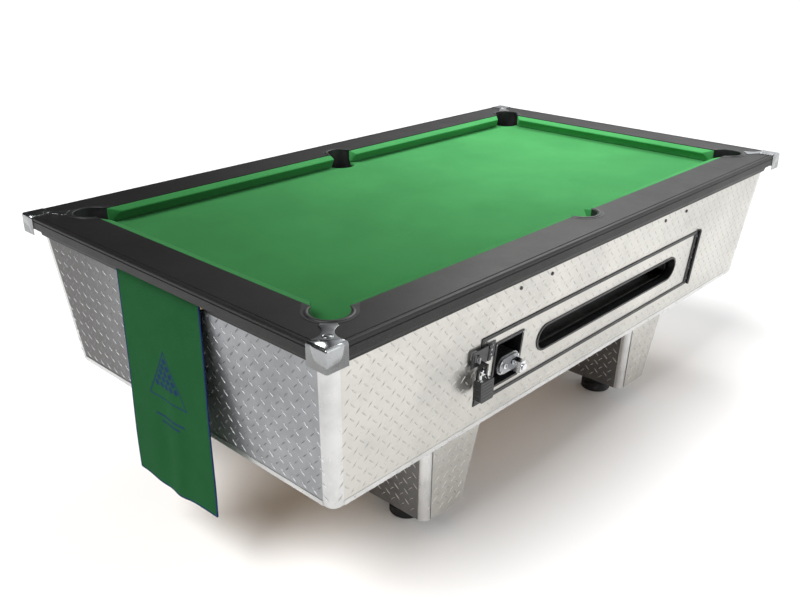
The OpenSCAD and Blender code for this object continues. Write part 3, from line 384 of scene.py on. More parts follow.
    # Fittings: plated steel, cast zinc and chrome
    for name, a, b, lo, hi in (
            ("plated_steel", (0.50, 0.51, 0.52), (0.34, 0.34, 0.34), 0.28, 0.48),
            ("zinc_casting", (0.31, 0.315, 0.32), (0.20, 0.20, 0.205), 0.22, 0.46),
            ("chromed_steel", (0.62, 0.63, 0.65), (0.42, 0.43, 0.44), 0.07, 0.22)):
        m = Mat(name, a, 0.3, 1.0)
        c = m.mix(m.ramp(m.noise(45, 5, 0.7), [(0.5, 0), (0.75, 1)]), a, b)
        m.color(c).rough(m.noise(70, 5, 0.6), lo, hi).bump(m.noise(700, 3), 0.00008, 0.4)
        out[name] = m.m
    # Black painted steel with rubbed paint
    m = Mat("black_steel", (0.02, 0.02, 0.022), 0.4, 0.25, Coat_Weight=0.2, Coat_Roughness=0.3)
    worn = m.ramp(m.noise(85, 6, 0.7), [(0.64, 0), (0.72, 1)])
    c = m.mix(worn, (0.016, 0.016, 0.018), (0.30, 0.30, 0.31))
    m.color(c).rough(m.noise(50, 5, 0.6), 0.28, 0.5).bump(m.noise(600, 3), 0.00015, 0.5)
    out["black_steel"] = m.m
    m = Mat("foot_rubber", (0.012, 0.012, 0.012), 0.62)
    c = m.mix(m.ramp(m.noise(35, 5, 0.6), [(0.5, 0), (0.8, 1)]), (0.010, 0.010, 0.011), (0.06, 0.058, 0.055))
    m.color(c).rough(m.noise(60, 4, 0.6), 0.5, 0.8).bump(m.noise(500, 3), 0.0003, 0.6)
    out["foot_rubber"] = m.m
    # Towelling: green pile, navy piping and print
    m = Mat("towelling", (0.02, 0.22, 0.06), 0.95, 0.0,
            Sheen_Weight=0.04, Sheen_Roughness=0.6, Specular_IOR_Level=0.1)
    m.p.inputs["Sheen Tint"].default_value = (0.3, 0.9, 0.45, 1)
    loops = m.voronoi(650)
    c = m.mix(m.noise(14, 5, 0.65), (0.006, 0.062, 0.016), (0.012, 0.098, 0.026))
    c = m.mix(m.ramp(loops, [(0.1, 0.0), (0.7, 0.6)]), c, (0.005, 0.045, 0.014))
    c = m.mix(m.attribute("ink"), c, m.mix(m.noise(300, 3), (0.004, 0.010, 0.055), (0.010, 0.022, 0.10)))
    m.color(c).bump(loops, 0.0012, 0.55).bump(m.noise(900, 2), 0.0004, 0.4)
    out["towelling"] = m.m
    # Painted shade: thin dark sheets standing in for the shaded hollows of coin slots, keyholes and bolt
    # sockets
    m = Mat("painted_hollow_shade", (0.006, 0.006, 0.007), 0.7)
    m.color(m.mix(m.noise(90, 3), (0.004, 0.004, 0.005), (0.015, 0.015, 0.016))).bump(m.noise(300), 0.0002, 0.3)
    out["painted_hollow_shade"] = m.m
    return out


# ------------------------------------------------------------------ mesh helpers
def place_piece(name, me, material, body):
    """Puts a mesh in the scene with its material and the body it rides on."""
    ob = bpy.data.objects.new(name, me)
    bpy.context.scene.collection.objects.link(ob)
    me.materials.append(MATS[material])
    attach(ob, body)
    return ob


def from_lists(name, verts, faces, material, body, smooth=True):
    me = bpy.data.meshes.new(name)
    me.from_pydata([tuple(v) for v in verts], [], faces)
    me.validate()
    me.update()
    if smooth:
        me.shade_smooth()
    return place_piece(name, me, material, body)


def from_bmesh(name, bm, material, body, replaces=()):
    me = bpy.data.meshes.new(name)
    bmesh.ops.recalc_face_normals(bm, faces=bm.faces)
    bm.to_mesh(me)
    bm.free()
    me.shade_smooth()
    ob = place_piece(name, me, material, body)
    if replaces:
        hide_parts(*replaces)
    return ob


def bevel(ob, width, segments=2):
    b = ob.modifiers.new("bevel", "BEVEL")
    b.width = width
    b.segments = segments
    b.limit_method = "ANGLE"
    b.angle_limit = math.radians(35)
    b.harden_normals = False
    b.use_clamp_overlap = True
    return b


def arc(cx, cy, r, a0, a1, n):
    return [(cx + r * math.cos(math.radians(a0 + (a1 - a0) * i / n)),
             cy + r * math.sin(math.radians(a0 + (a1 - a0) * i / n))) for i in range(n + 1)]


def disc(r):
    return arc(0, 0, r, 0, 350, 35)


def rounded_rect(w, h, r, n=6):
    x, y = w / 2 - r, h / 2 - r
    pts = []
    for cx, cy, a in ((x, y, 0), (-x, y, 90), (-x, -y, 180), (x, -y, 270)):
        pts += arc(cx, cy, r, a, a + 90, n)
    return pts


def prism(name, outline, place, depth, material, body, edge=0.0):
    """A closed outline extruded along local Z by depth; place is the matrix from local to the frame."""
    bm = bmesh.new()
    low = [bm.verts.new(place @ Vector((x, y, 0))) for x, y in outline]
    high = [bm.verts.new(place @ Vector((x, y, depth))) for x, y in outline]
    n = len(outline)
    bm.faces.new(low[::-1])
    bm.faces.new(high)
    for i in range(n):
        bm.faces.new((low[i], low[(i + 1) % n], high[(i + 1) % n], high[i]))
    ob = from_bmesh(name, bm, material, body)
    if edge:
        bevel(ob, edge)


def domed_faces(rings, seg):
    """Faces over stacked rings of vertices, with a flat base and one more vertex that closes the top."""
    faces = []
    for k in range(rings - 1):
        for i in range(seg):
            a, b = k * seg + i, k * seg + (i + 1) % seg
            faces.append((a, b, b + seg, a + seg))
    last = (rings - 1) * seg
    for i in range(seg):
        faces.append((last + i, last + (i + 1) % seg, rings * seg))
    faces.append(tuple(range(seg))[::-1])
    return faces


def face_matrix(x, z, out=0.0):
    """Local X along +X, Y up the leaning -Y face, Z along its outward normal."""
    ex = Vector((1, 0, 0))
    ez = Vector((0, -math.cos(A), -math.sin(A)))
    ey = ez.cross(ex)
    p = Vector((x, -body_y(z), z)) + ez * out
    return Matrix.Translation(p) @ Matrix((ex, ey, ez)).transposed().to_4x4()


def upright(x, y, z):
    """Local X along +X, Y up, Z towards the front."""
    return Matrix.Translation((x, y, z)) @ Matrix(((1, 0, 0), (0, 0, -1), (0, 1, 0))).to_4x4()


# ------------------------------------------------------------------ tread plate bars
PITCH = 0.0177
BAR_L, BAR_W, BAR_H = 0.0235, 0.0044, 0.0010
# A bar's outline and the four points of its top, in shares of its length, width and height
BAR_OUTLINE = [(0.5, 0.0), (0.3, 0.38), (0.0, 0.5), (-0.3, 0.38),
               (-0.5, 0.0), (-0.3, -0.38), (0.0, -0.5), (0.3, -0.38)]
BAR_TOP = [(0.30, 0, 0.85), (0.0, 0.18, 1), (-0.30, 0, 0.85), (0.0, -0.18, 1)]
BAR_FACES = [(0, 1, 8), (1, 2, 9, 8), (2, 3, 10, 9), (3, 4, 10), (4, 5, 10),
             (5, 6, 11, 10), (6, 7, 8, 11), (7, 0, 8), (8, 9, 10, 11)]
# Each look: the sheet's material, the painted shade on bar slopes, and the painted highlight or lighter painted
# shade for the other family
BAR_LOOKS = {"side": ("tread_plate", "bar_slope_shade", "bar_slope_half_shade"),
             "end": ("tread_plate_shaded", "bar_slope_shade_end", "bar_highlight")}
# Bars keep this far from a sheet's left and right, lower and upper edges
SHEET_SIDE, SHEET_LOW, SHEET_TOP = 0.0015, 0.0125, 0.001
FACE_H = (Z_BODY - Z_LOW) / math.cos(A)
UP_FRONT = Vector((0, -math.sin(A), math.cos(A)))
UP_BACK = Vector((0, math.sin(A), math.cos(A)))


def lozenges(name, corner, ex, ey, inside, size, body, phase=0, look="side"):
    """Raised bars at 45 degrees over a face that starts at corner and runs along ex and ey.

    Each row is turned against the next, and a bar is made where inside says so."""
    ex, ey = Vector(ex).normalized(), Vector(ey).normalized()
    ez = ex.cross(ey)
    reach = BAR_L / 2 + 0.001
    verts, faces, turned = [], [], []
    nx, ny = int(size[0] / PITCH) + 2, int(size[1] / PITCH) + 2
    for j in range(ny):
        for i in range(j % 2, nx, 2):
            cx, cy = (i + 0.5) * PITCH, (j + 0.5) * PITCH
            s = 1 if (j + phase) % 2 else -1
            dx, dy = math.sqrt(0.5), s * math.sqrt(0.5)
            if not all(inside(cx + k * reach * dx, cy + k * reach * dy) for k in (-1, 1)):
                continue
            base = len(verts)
            turned.append(s)
            points = [(u, v, -0.0001) for u, v in BAR_OUTLINE] + [(u, v, BAR_H * h) for u, v, h in BAR_TOP]
            for u, v, out in points:
                u, v = u * BAR_L, v * BAR_W
                across, up = cx + u * dx - v * dy, cy + u * dy + v * dx
                verts.append(Vector(corner) + ex * across + ey * up + ez * out)
            faces += [tuple(base + k for k in face) for face in BAR_FACES]
    looks = BAR_LOOKS[look]
    ob = from_lists(name, verts, faces, looks[0], body, smooth=False)
    for material in looks[1:]:
        ob.data.materials.append(MATS[material])
    # Painted shade on the lower slopes of one family of bars; on the other family, a painted highlight on the
    # crown and upper slopes on the ends, and a lighter painted shade on the slopes on the sides
    for k, face in enumerate(ob.data.polygons):
        part = k % len(BAR_FACES)
        if turned[k // len(BAR_FACES)] > 0:
            face.material_index = 1 if part > 3 else 0
        elif look == "side":
            face.material_index = 0 if part == 8 else 2
        else:
            face.material_index = 2 if part < 4 or part == 8 else 0


def on_sheet(u, v, length):
    return SHEET_SIDE < u < length - SHEET_SIDE and SHEET_LOW < v < FACE_H - SHEET_TOP


def clear_of_bolts(x, v):
    return all(math.hypot(x - bolt, v - (FACE_H - 0.0191)) > 0.0075 for bolt in BOLTS)


def side_bars():
    """The long sides, clear of the rail bolts and, in front, of the door and the hasp."""
    x0, x1 = (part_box("door_tread_plate")[i][0] for i in (0, 1))
    v0, v1 = ((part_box("door_panel")[i][2] - Z_LOW) / math.cos(A) for i in (0, 1))
    half = 1.0

    def front(u, v):
        x = u - half
        if x0 - 0.003 < x < x1 + 0.017 and v0 - 0.003 < v < v1 + 0.003:
            return False
        if -0.566 < x < -0.535 and v1 - 0.075 < v < v1 - 0.01:
            return False
        return on_sheet(u, v, 2 * half) and clear_of_bolts(x, v)

    def back(u, v):
        return on_sheet(u, v, 2 * half) and clear_of_bolts(half - u, v)
    y = body_y(Z_LOW)
    lozenges("front_bars", (-half, -y, Z_LOW), (1, 0, 0), UP_FRONT, front, (2 * half, FACE_H), "table")
    lozenges("back_bars", (half, y, Z_LOW), (-1, 0, 0), UP_BACK, back, (2 * half, FACE_H), "table")


def end_bars():
    half = 0.540

    def inside(u, v):
        return on_sheet(u, v, 2 * half)
    for s, name in ((-1, "left_bars"), (1, "right_bars")):
        up = Vector((s * math.sin(A), 0, math.cos(A)))
        corner = (s * body_x(Z_LOW), s * -half, Z_LOW)
        lozenges(name, corner, (0, s, 0), up, inside, (2 * half, FACE_H), "table", 1, "end")


def door_bars():
    """The door's plate, clear of its edging, its hinge, the slot, the recess and the hasp."""
    x0, x1 = (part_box("door_tread_plate")[i][0] for i in (0, 1))
    z0, z1 = (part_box("door_panel")[i][2] for i in (0, 1))
    height = (z1 - z0) / math.cos(A)
    (s0, s1), (r0, r1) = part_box("slot_edging"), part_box("recess_frame")
    slot_x, slot_l = (s0[0] + s1[0]) / 2, s1[0] - s0[0] + 0.004
    slot_v, slot_h = ((s0[2] + s1[2]) / 2 - z0) / math.cos(A), (s1[2] - s0[2]) / math.cos(A) + 0.004
    recess_v0, recess_v1 = (r0[2] - z0) / math.cos(A), (r1[2] - z0) / math.cos(A)

    def inside(u, v):
        x = x0 + u
        if not (0.011 < u < x1 - x0 - 0.026 and 0.011 < v < height - 0.011):
            return False
        beyond = max(0.0, abs(x - slot_x) - (slot_l - slot_h) / 2)
        if math.hypot(beyond, v - slot_v) < slot_h / 2:
            return False
        if r0[0] - 0.002 < x < r1[0] + 0.002 and recess_v0 - 0.002 < v < recess_v1 + 0.002:
            return False
        return not (-0.506 < x < -0.472 and height - 0.068 < v < height - 0.016)
    lozenges("door_bars", (x0, -body_y(z0), z0), (1, 0, 0), UP_FRONT, inside, (x1 - x0, height), "door")


def leg_face_bars(name, axis, side, signs, normal_way, cross_way):
    """Bars on one face of a leg.

    Axis is the one the face looks along, and side is 1 where it looks outward. Each way holds the leg's
    two distances from the table's middle, at its foot and at its top."""
    z_foot, z_top = 0.068, Z_LOW - 0.0005
    plate_t, corner_r = 0.0016, 0.0235
    (f_foot, f_top), (g_foot, g_top) = normal_way, cross_way
    out = plate_t if side else -plate_t

    def point(g, f, z):
        x, y = (g, f) if axis == 1 else (f, g)
        return Vector((x * signs[0], y * signs[1], z))
    bl, br = (point(g, f_foot[side] + out, z_foot) for g in g_foot)
    tl, tr = (point(g, f_top[side] + out, z_top) for g in g_top)
    outward = point(0.0, 1.0 if side else -1.0, 0.0)
    if (br - bl).cross((tl + tr) / 2 - (bl + br) / 2).dot(outward) < 0:
        bl, br, tl, tr = br, bl, tr, tl
    ex = (br - bl).normalized()
    ey = ((tl + tr) / 2 - (bl + br) / 2).normalized()
    ey = (ey - ex * ey.dot(ex)).normalized()
    height = ((tl + tr) / 2 - (bl + br) / 2).length
    foot_w, top_l, top_r = (br - bl).length, (tl - bl).dot(ex), (tr - bl).dot(ex)
    left = min(0.0, top_l)

    def inside(u, v):
        k = v / height
        lower, upper = top_l * k + corner_r, foot_w + (top_r - foot_w) * k - corner_r
        return 0.003 < v < height - 0.004 and lower < u + left < upper
    lozenges(name, bl + ex * left, ex, ey, inside, (max(foot_w, top_r) - left, height), "table")


def leg_bars():
    leg_x = ((0.418, 0.587), (0.376, 0.621))
    leg_y = ((0.161, 0.441), (0.127, 0.475))
    for sx, sy in CORNERS:
        for axis, normal_way, cross_way in ((1, leg_y, leg_x), (0, leg_x, leg_y)):
            for side in (0, 1):
                name = "leg_bars_%s_%d%d" % (side_tag(sx, sy), axis, side)
                leg_face_bars(name, axis, side, (sx, sy), normal_way, cross_way)


def tread_plates():
    side_bars()
    end_bars()
    door_bars()
    leg_bars()


# ------------------------------------------------------------------ cushions
CUSHION_DEPTH = 0.042
# A cushion's section, as distances in from the rail and down from its top
CUSHION_SECTION = [
    (0.0, -0.0022), (0.004, -0.0020), (0.012, -0.0040), (0.020, -0.0060), (0.0262, -0.0078), (0.0288, -0.0090),
    (0.0297, -0.0107), (0.0292, -0.0126), (0.0272, -0.0145), (0.0215, -0.0215), (0.0150, -0.0305),
    (0.0105, -0.0385), (0.0098, -CUSHION_DEPTH + 0.0012), (0.0, -CUSHION_DEPTH + 0.0012)]


def cushion(name, origin, along, inward, s0, s1, k0, k1, node):
    """A cloth-covered cushion: a rounded section lofted from s0 to s1 between cuts that slant by k0 and k1."""
    o, e, n = Vector(origin), Vector(along), Vector(inward)
    size = len(CUSHION_SECTION)
    cu = sum(u for u, _ in CUSHION_SECTION) / size
    cv = sum(v for _, v in CUSHION_SECTION) / size
    # Each row has its distance from an end, its scale and where it is: first end, middle or last end
    ends = [(0.0, 0.80), (0.0008, 0.93), (0.0025, 0.985), (0.006, 1.0)]
    count = max(8, int((s1 - s0) / 0.05))
    rows = [(off, k, "first") for off, k in ends]
    rows += [(i / count, 1.0, "middle") for i in range(1, count)]
    rows += [(off, k, "last") for off, k in ends[::-1]]
    rnd = random.Random(name)
    wobble = [rnd.uniform(-1, 1) for _ in range(8)]
    bm = bmesh.new()
    rings = []
    for off, k, where in rows:
        ring = []
        for u0, v0 in CUSHION_SECTION:
            u, v = max(cu + (u0 - cu) * k, 0.0), cv + (v0 - cv) * k
            a, b = s0 + k0 * u, s1 - k1 * u
            s = {"first": a + off, "middle": a + (b - a) * off, "last": b - off}[where]
            sag = 0
            if where == "middle" and u > 0.005:
                sag = 0.0002 * sum(w * math.sin((j + 2) * 2.1 * s + j) for j, w in enumerate(wobble))
            p = o + e * s + n * (u + sag)
            ring.append(bm.verts.new((p.x, p.y, TOP + v)))
        rings.append(ring)
    for low, high in zip(rings, rings[1:]):
        for c in range(size):
            c2 = (c + 1) % size
            bm.faces.new((low[c], low[c2], high[c2], high[c]))
    bm.faces.new(rings[0][::-1])
    bm.faces.new(rings[-1])
    ob = from_bmesh(name, bm, "green_cushion", "table", replaces=(node,))


def cushions():
    jaw = RAIL + POCKET_R * math.sqrt(2)
    side, end = HL - jaw, HW - jaw
    flare = 0.010 / NOSE
    for sy, yn in ((-1, "front"), (1, "back")):
        for way, xn in ((1, "left"), (-1, "right")):
            node = "cushion_%s_%s" % (yn, xn)
            cushion(node + "_cloth", (0, sy * (HW - RAIL), 0), (way, 0, 0), (0, -sy, 0),
                    -side, -POCKET_R, 1.0, flare, node)
    for sx, xn in ((-1, "left"), (1, "right")):
        cushion("cushion_%s_cloth" % xn, (sx * (HL - RAIL), 0, 0), (0, 1, 0), (-sx, 0, 0),
                -end, end, 1.0, 1.0, "cushion_" + xn)


# ------------------------------------------------------------------ bed cloth
def bed():
    """A flat sheet with a hole at each pocket, drawn over the slate's rounded edge and down into the pocket."""
    lo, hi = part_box("bed_cloth")
    top = hi[2]
    hole = POCKET_R + 0.005
    centres = [(sx * (HL - CORNER_IN), sy * (HW - CORNER_IN)) for sx, sy in CORNERS]
    centres += [(0, sy * (HW - MIDDLE_IN)) for sy in (-1, 1)]
    bm = bmesh.new()

    def ring(points):
        vs = [bm.verts.new((x, y, top)) for x, y in points]
        return [bm.edges.new((vs[i], vs[(i + 1) % len(vs)])) for i in range(len(vs))]
    x1, y1 = hi[0] - 0.0003, hi[1] - 0.0003
    edges = ring([(-x1, -y1), (x1, -y1), (x1, y1), (-x1, y1)])
    for cx, cy in centres:
        edges += ring(arc(cx, cy, hole, 0, 352.5, 47))
    bmesh.ops.triangle_fill(bm, edges=edges, use_beauty=True)
    bm.normal_update()
    for f in bm.faces:
        if f.normal.z < 0:
            f.normal_flip()
    rims = [e for e in bm.edges if e.is_boundary and abs(e.verts[0].co.x) < x1 - 0.001
            and abs(e.verts[0].co.y) < y1 - 0.001]
    for dz, dr in ((-0.0006, -0.0006), (-0.002, -0.0012), (-0.006, -0.0014), (-0.012, -0.0014)):
        got = bmesh.ops.extrude_edge_only(bm, edges=rims)
        rims = [g for g in got["geom"] if isinstance(g, bmesh.types.BMEdge)]
        for v in (g for g in got["geom"] if isinstance(g, bmesh.types.BMVert)):
            cx, cy = min(centres, key=lambda c: (c[0] - v.co.x) ** 2 + (c[1] - v.co.y) ** 2)
            k = (hole + dr) / math.hypot(v.co.x - cx, v.co.y - cy)
            v.co = (cx + (v.co.x - cx) * k, cy + (v.co.y - cy) * k, top + dz)
    area = sum(f.calc_area() for f in bm.faces)
    me = bpy.data.meshes.new("bed_cloth_sheet")
    bm.to_mesh(me)
    bm.free()
    ob = place_piece("bed_cloth_sheet", me, "green_cloth", "table")
    sol = ob.modifiers.new("thickness", "SOLIDIFY")
    sol.thickness = 0.0009
    sol.offset = -1
    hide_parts("bed_cloth")


# ------------------------------------------------------------------ corner caps
CAP_T = 0.0015
CAP_INSET = 0.0062
CAP_LEG = 0.0570


def cap_outline():
    """The plate seen from above: two straight legs, two hollows and a tip round the pocket."""
    ring = -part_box("corner_pocket_liners")[0][0] - (HL - CORNER_IN) + 0.0006
    side = [(CAP_INSET, CAP_INSET), (CAP_LEG, CAP_INSET), (CAP_LEG, 0.0110)]
    for x, y in arc(0.102, 0.020, 0.0452, 191.3, 100, 40):
        if math.hypot(x - CORNER_IN, y - CORNER_IN) < ring:
            break
        side.append((x, y))
    a0 = math.degrees(math.atan2(side[-1][1] - CORNER_IN, side[-1][0] - CORNER_IN)) % 360
    tip = arc(CORNER_IN, CORNER_IN, ring, a0, 450 - a0, 12)
    return side + tip + [(y, x) for x, y in side[:0:-1]]


def cap_plate(tag, place, outline):
    bm = bmesh.new()
    top = [bm.verts.new(place @ Vector((x, y, CAP_T))) for x, y in outline]
    bot = [bm.verts.new(place @ Vector((x, y, -0.001))) for x, y in outline]
    n = len(outline)
    bm.faces.new(top)
    bm.faces.new(bot[::-1])
    for i in range(n):
        bm.faces.new((top[i], top[(i + 1) % n], bot[(i + 1) % n], bot[i]))
    plate = from_bmesh("cap_plate_" + tag, bm, "chromed_casting", "table",
                       replaces=("corner_caps",) if tag == "front_left" else ())
    # The upper rim is rounded, except where the skirt's shoulder carries on from it
    edge = plate.data.attributes.new("bevel_weight_edge", "FLOAT", "EDGE")
    for k, e in enumerate(plate.data.edges):
        ends = [place.inverted() @ plate.data.vertices[v].co for v in e.vertices]
        joins_skirt = any(all(abs(v[c] - CAP_INSET) < 1e-5 for v in ends) for c in (0, 1))
        edge.data[k].value = 1.0 if all(v.z > 0 for v in ends) and not joins_skirt else 0.0
    bevel(plate, 0.0011, 3).limit_method = "WEIGHT"


def cap_skirt(tag, place, low):
    """An L-shaped shell with a rounded shoulder, open at the bottom."""
    prof = [(-CAP_T, low - TOP), (-CAP_T, -CAP_INSET)]
    for a in (15, 30, 45, 60, 75, 90):
        c, s = math.cos(math.radians(a)), math.sin(math.radians(a))
        prof.append((-CAP_T + CAP_INSET * (1 - c), -CAP_INSET + (CAP_INSET + CAP_T) * s))
    prof.append((CAP_INSET, CAP_T))
    # Each stop on the way round has its place and the direction that the section faces there
    path = [((CAP_LEG, 0.0), (0, 1)), ((0.0320, 0.0), (0, 1))]
    for a in (0, 22.5, 45, 67.5, 90):
        path.append(((0.0, 0.0), (math.sin(math.radians(a)), math.cos(math.radians(a)))))
    path += [((0.0, 0.0320), (1, 0)), ((0.0, CAP_LEG), (1, 0))]
    round_r = 0.003
    bm = bmesh.new()
    rows = []
    for (px, py), (dx, dy) in path:
        row = []
        for u, v in prof:
            if px == 0.0 and py == 0.0:
                # round about a centre in from the corner, then mitred further up the shoulder
                c, rr = max(round_r, u), max(round_r - u, 0.0)
                q = (c - dx * rr, c - dy * rr)
            elif dx:
                q = (u, py)
            else:
                q = (px, u)
            row.append(bm.verts.new(place @ Vector((q[0], q[1], v))))
        rows.append(row)
    for a, b in zip(rows, rows[1:]):
        for i in range(len(prof) - 1):
            bm.faces.new((a[i], a[i + 1], b[i + 1], b[i]))
    bmesh.ops.remove_doubles(bm, verts=bm.verts, dist=1e-6)
    skirt = from_bmesh("cap_skirt_" + tag, bm, "chromed_casting", "table")
    sol = skirt.modifiers.new("thickness", "SOLIDIFY")
    sol.thickness = 0.0012


def cap_boss(tag, place, mx, my):
    """An oval boss with a ring round it, set across the corner."""
    c = place @ Vector((0.045, 0.045, CAP_T))
    ax, ay = Vector((-mx, -my, 0)).normalized(), Vector((my, -mx, 0)).normalized()
    seg, squash = 40, 0.78
    profile = [(0.005, 0.0010), (0.0078, 0.0003), (0.0088, -0.0001), (0.0098, 0.0007), (0.0112, 0.0008),
               (0.0122, -0.0003)]
    bm = bmesh.new()
    crown = bm.verts.new((c.x, c.y, c.z + 0.0011))
    rings = []
    for r, h in profile:
        ring = []
        for i in range(seg):
            q = 2 * math.pi * i / seg
            p = c + ax * (r * squash * math.cos(q)) + ay * (r * math.sin(q))
            ring.append(bm.verts.new((p.x, p.y, c.z + h)))
        rings.append(ring)
    for i in range(seg):
        bm.faces.new((crown, rings[0][i], rings[0][(i + 1) % seg]))
    for inner, outer in zip(rings, rings[1:]):
        for i in range(seg):
            j = (i + 1) % seg
            bm.faces.new((inner[i], outer[i], outer[j], inner[j]))
    from_bmesh("cap_boss_" + tag, bm, "chromed_casting", "table")


def corner_caps():
    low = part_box("corner_caps")[0][2]
    outline = cap_outline()
    for mx, my in CORNERS:
        place = Matrix.Translation((mx * HL, my * HW, TOP)) @ Matrix.Diagonal((-mx, -my, 1, 1))
        tag = side_tag(mx, my)
        cap_plate(tag, place, outline)
        cap_skirt(tag, place, low)
        cap_boss(tag, place, mx, my)


# ------------------------------------------------------------------ pocket rings
def pocket_rings():
    """A rounded bead on each pocket liner's flange, open towards the bed."""
    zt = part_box("corner_pocket_liners")[1][2] - 0.0004
    r = POCKET_R + 0.0062
    sect = [(0.0050 * math.cos(math.radians(a)), 0.0026 * math.sin(math.radians(a))) for a in range(0, 181, 20)]
    # Each ring's centre, the angle of its middle and half of the angle it covers
    spots = [((sx * (HL - CORNER_IN), sy * (HW - CORNER_IN)), math.degrees(math.atan2(sy, sx)), 124)
             for sx, sy in CORNERS]
    spots += [((0, sy * (HW - MIDDLE_IN)), 90 * sy, 92) for sy in (-1, 1)]
    n = 60
    for k, ((cx, cy), mid, half) in enumerate(spots):
        bm = bmesh.new()
        rows = []
        for i in range(n + 1):
            a = math.radians(mid - half + 2 * half * i / n)
            e = min(1.0, 0.25 + 6 * min(i, n - i) / n)
            radii = [r + u * e for u, _ in sect]
            rows.append([bm.verts.new((cx + q * math.cos(a), cy + q * math.sin(a), zt + v * e))
                         for q, (_, v) in zip(radii, sect)])
        for a, b in zip(rows, rows[1:]):
            for i in range(len(sect) - 1):
                bm.faces.new((a[i], a[i + 1], b[i + 1], b[i]))
            bm.faces.new((a[-1], a[0], b[0], b[-1]))
        bm.faces.new(rows[0])
        bm.faces.new(rows[-1][::-1])
        from_bmesh("pocket_ring_%d" % k, bm, "black_moulding", "table")


# ------------------------------------------------------------------ towel
TOWEL_U, TOWEL_V = 44, 72


def hang(ob):
    """Lets the cloth settle from its clamped top edge."""
    row = TOWEL_U + 1
    pins = ob.vertex_groups.new(name="pins")
    pins.add(list(range(row)), 1.0, "REPLACE")
    pins.add(list(range(row, 2 * row)), 0.6, "REPLACE")
    cl = ob.modifiers.new("cloth", "CLOTH")
    s = cl.settings
    s.quality = 6
    s.mass = 0.35
    s.tension_stiffness = s.compression_stiffness = 25
    s.shear_stiffness = 12
    s.bending_stiffness = 1.2
    s.air_damping = 4
    s.vertex_group_mass = "pins"
    cl.collision_settings.use_collision = False
    frames = 40
    cl.point_cache.frame_start, cl.point_cache.frame_end = 1, frames
    scene = bpy.context.scene
    for f in range(1, frames + 1):
        scene.frame_set(f)
    apply_modifiers(ob)
    ob.vertex_groups.clear()
    scene.frame_set(1)


def apply_modifiers(ob):
    dg = bpy.context.evaluated_depsgraph_get()
    solved = bpy.data.meshes.new_from_object(ob.evaluated_get(dg))
    ob.modifiers.clear()
    ob.data = solved


def printed(x, y):
    """Ink at x from the middle and y down from the top: a rack of fifteen balls over two plain strokes."""
    first, pitch, ball_r = 0.205, 0.0205, 0.0085
    for row in range(5):
        for c in range(row + 1):
            if math.hypot(x - (c - row / 2) * pitch, y - (first + row * pitch * 0.87)) < ball_r:
                return 0.92
    down, height, half_w, line = y - first + 0.030, 0.145, 0.083, 0.0048
    edge = down / height * half_w
    if 0 < down < height and (edge - line < abs(x) < edge or height - line < down and abs(x) < edge):
        return 0.92
    for stroke, reach in ((0.372, 0.062), (0.388, 0.040)):
        if abs(y - stroke) < 0.0028 and abs(x) < reach:
            return 0.9
    return 0.0


def add_ink(me, width, length):
    """Piping along the sides and hem, and the printed motif, in the cloth's own coordinates."""
    uv = me.uv_layers[0].data
    flat = {me.loops[k].vertex_index: tuple(uv[k].uv) for face in me.polygons for k in face.loop_indices}
    ink = me.attributes.new("ink", "FLOAT", "POINT")
    for k in range(len(me.vertices)):
        u, v = flat.get(k, (0.5, 0.5))
        piping = min(u * width, (1 - u) * width) < 0.0045 or (1 - v) * length < 0.005
        ink.data[k].value = 1.0 if piping else printed((u - 0.5) * width, v * length)


def towel():
    lo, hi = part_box("towel")
    width, length = hi[1] - lo[1], hi[2] - lo[2]
    xm = (lo[0] + hi[0]) / 2
    flat_l = length + 0.012
    row = TOWEL_U + 1
    verts, faces = [], []
    for j in range(TOWEL_V + 1):
        v = j / TOWEL_V
        for i in range(row):
            u = i / TOWEL_U
            # gentle waves that fade towards the clamped top
            w = math.sin(2 * math.pi * (1.55 * u + 0.15)) * 0.55 + math.sin(2 * math.pi * (2.7 * u + 0.6)) * 0.3
            verts.append((xm + 0.0035 * w * (0.2 + 0.8 * v), lo[1] + width * (0.5 + (u - 0.5) * 0.985),
                          hi[2] - 0.001 - length * 0.985 * v))
    for j in range(TOWEL_V):
        for i in range(TOWEL_U):
            a = j * row + i
            faces.append((a, a + 1, a + row + 1, a + row))
    me = bpy.data.meshes.new("towel_cloth")
    me.from_pydata(verts, [], faces)
    uv = me.uv_layers.new(name="flat")
    for face in me.polygons:
        for li in face.loop_indices:
            k = me.loops[li].vertex_index
            uv.data[li].uv = ((k % row) / TOWEL_U, (k // row) / TOWEL_V)
    ob = bpy.data.objects.new("towel_cloth", me)
    bpy.context.scene.collection.objects.link(ob)
    me.materials.append(MATS["towelling"])
    hang(ob)
    # The weave's slack: an uneven hem, lowest at one corner, and slight billows
    for k, v in enumerate(ob.data.vertices):
        u, w = (k % row) / TOWEL_U, (k // row) / TOWEL_V
        drop = 0.004 * math.sin(7.5 * u + 0.8) + 0.006 * ((1 - u) - 0.5)
        v.co.z = max(v.co.z + drop * w ** 3, lo[2] - 0.004)
        v.co.x += 0.0016 * math.sin(9 * w + 4 * u) * w
        v.co.x = min(max(v.co.x, xm - 0.012), xm + 0.007)
    sub = ob.modifiers.new("smooth", "SUBSURF")
    sub.levels = sub.render_levels = 2
    apply_modifiers(ob)
    add_ink(ob.data, width, flat_l)
    ob.data.shade_smooth()
    sol = ob.modifiers.new("thickness", "SOLIDIFY")
    sol.thickness = 0.0022
    sol.offset = 0
    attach(ob, "table")
    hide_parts("towel")


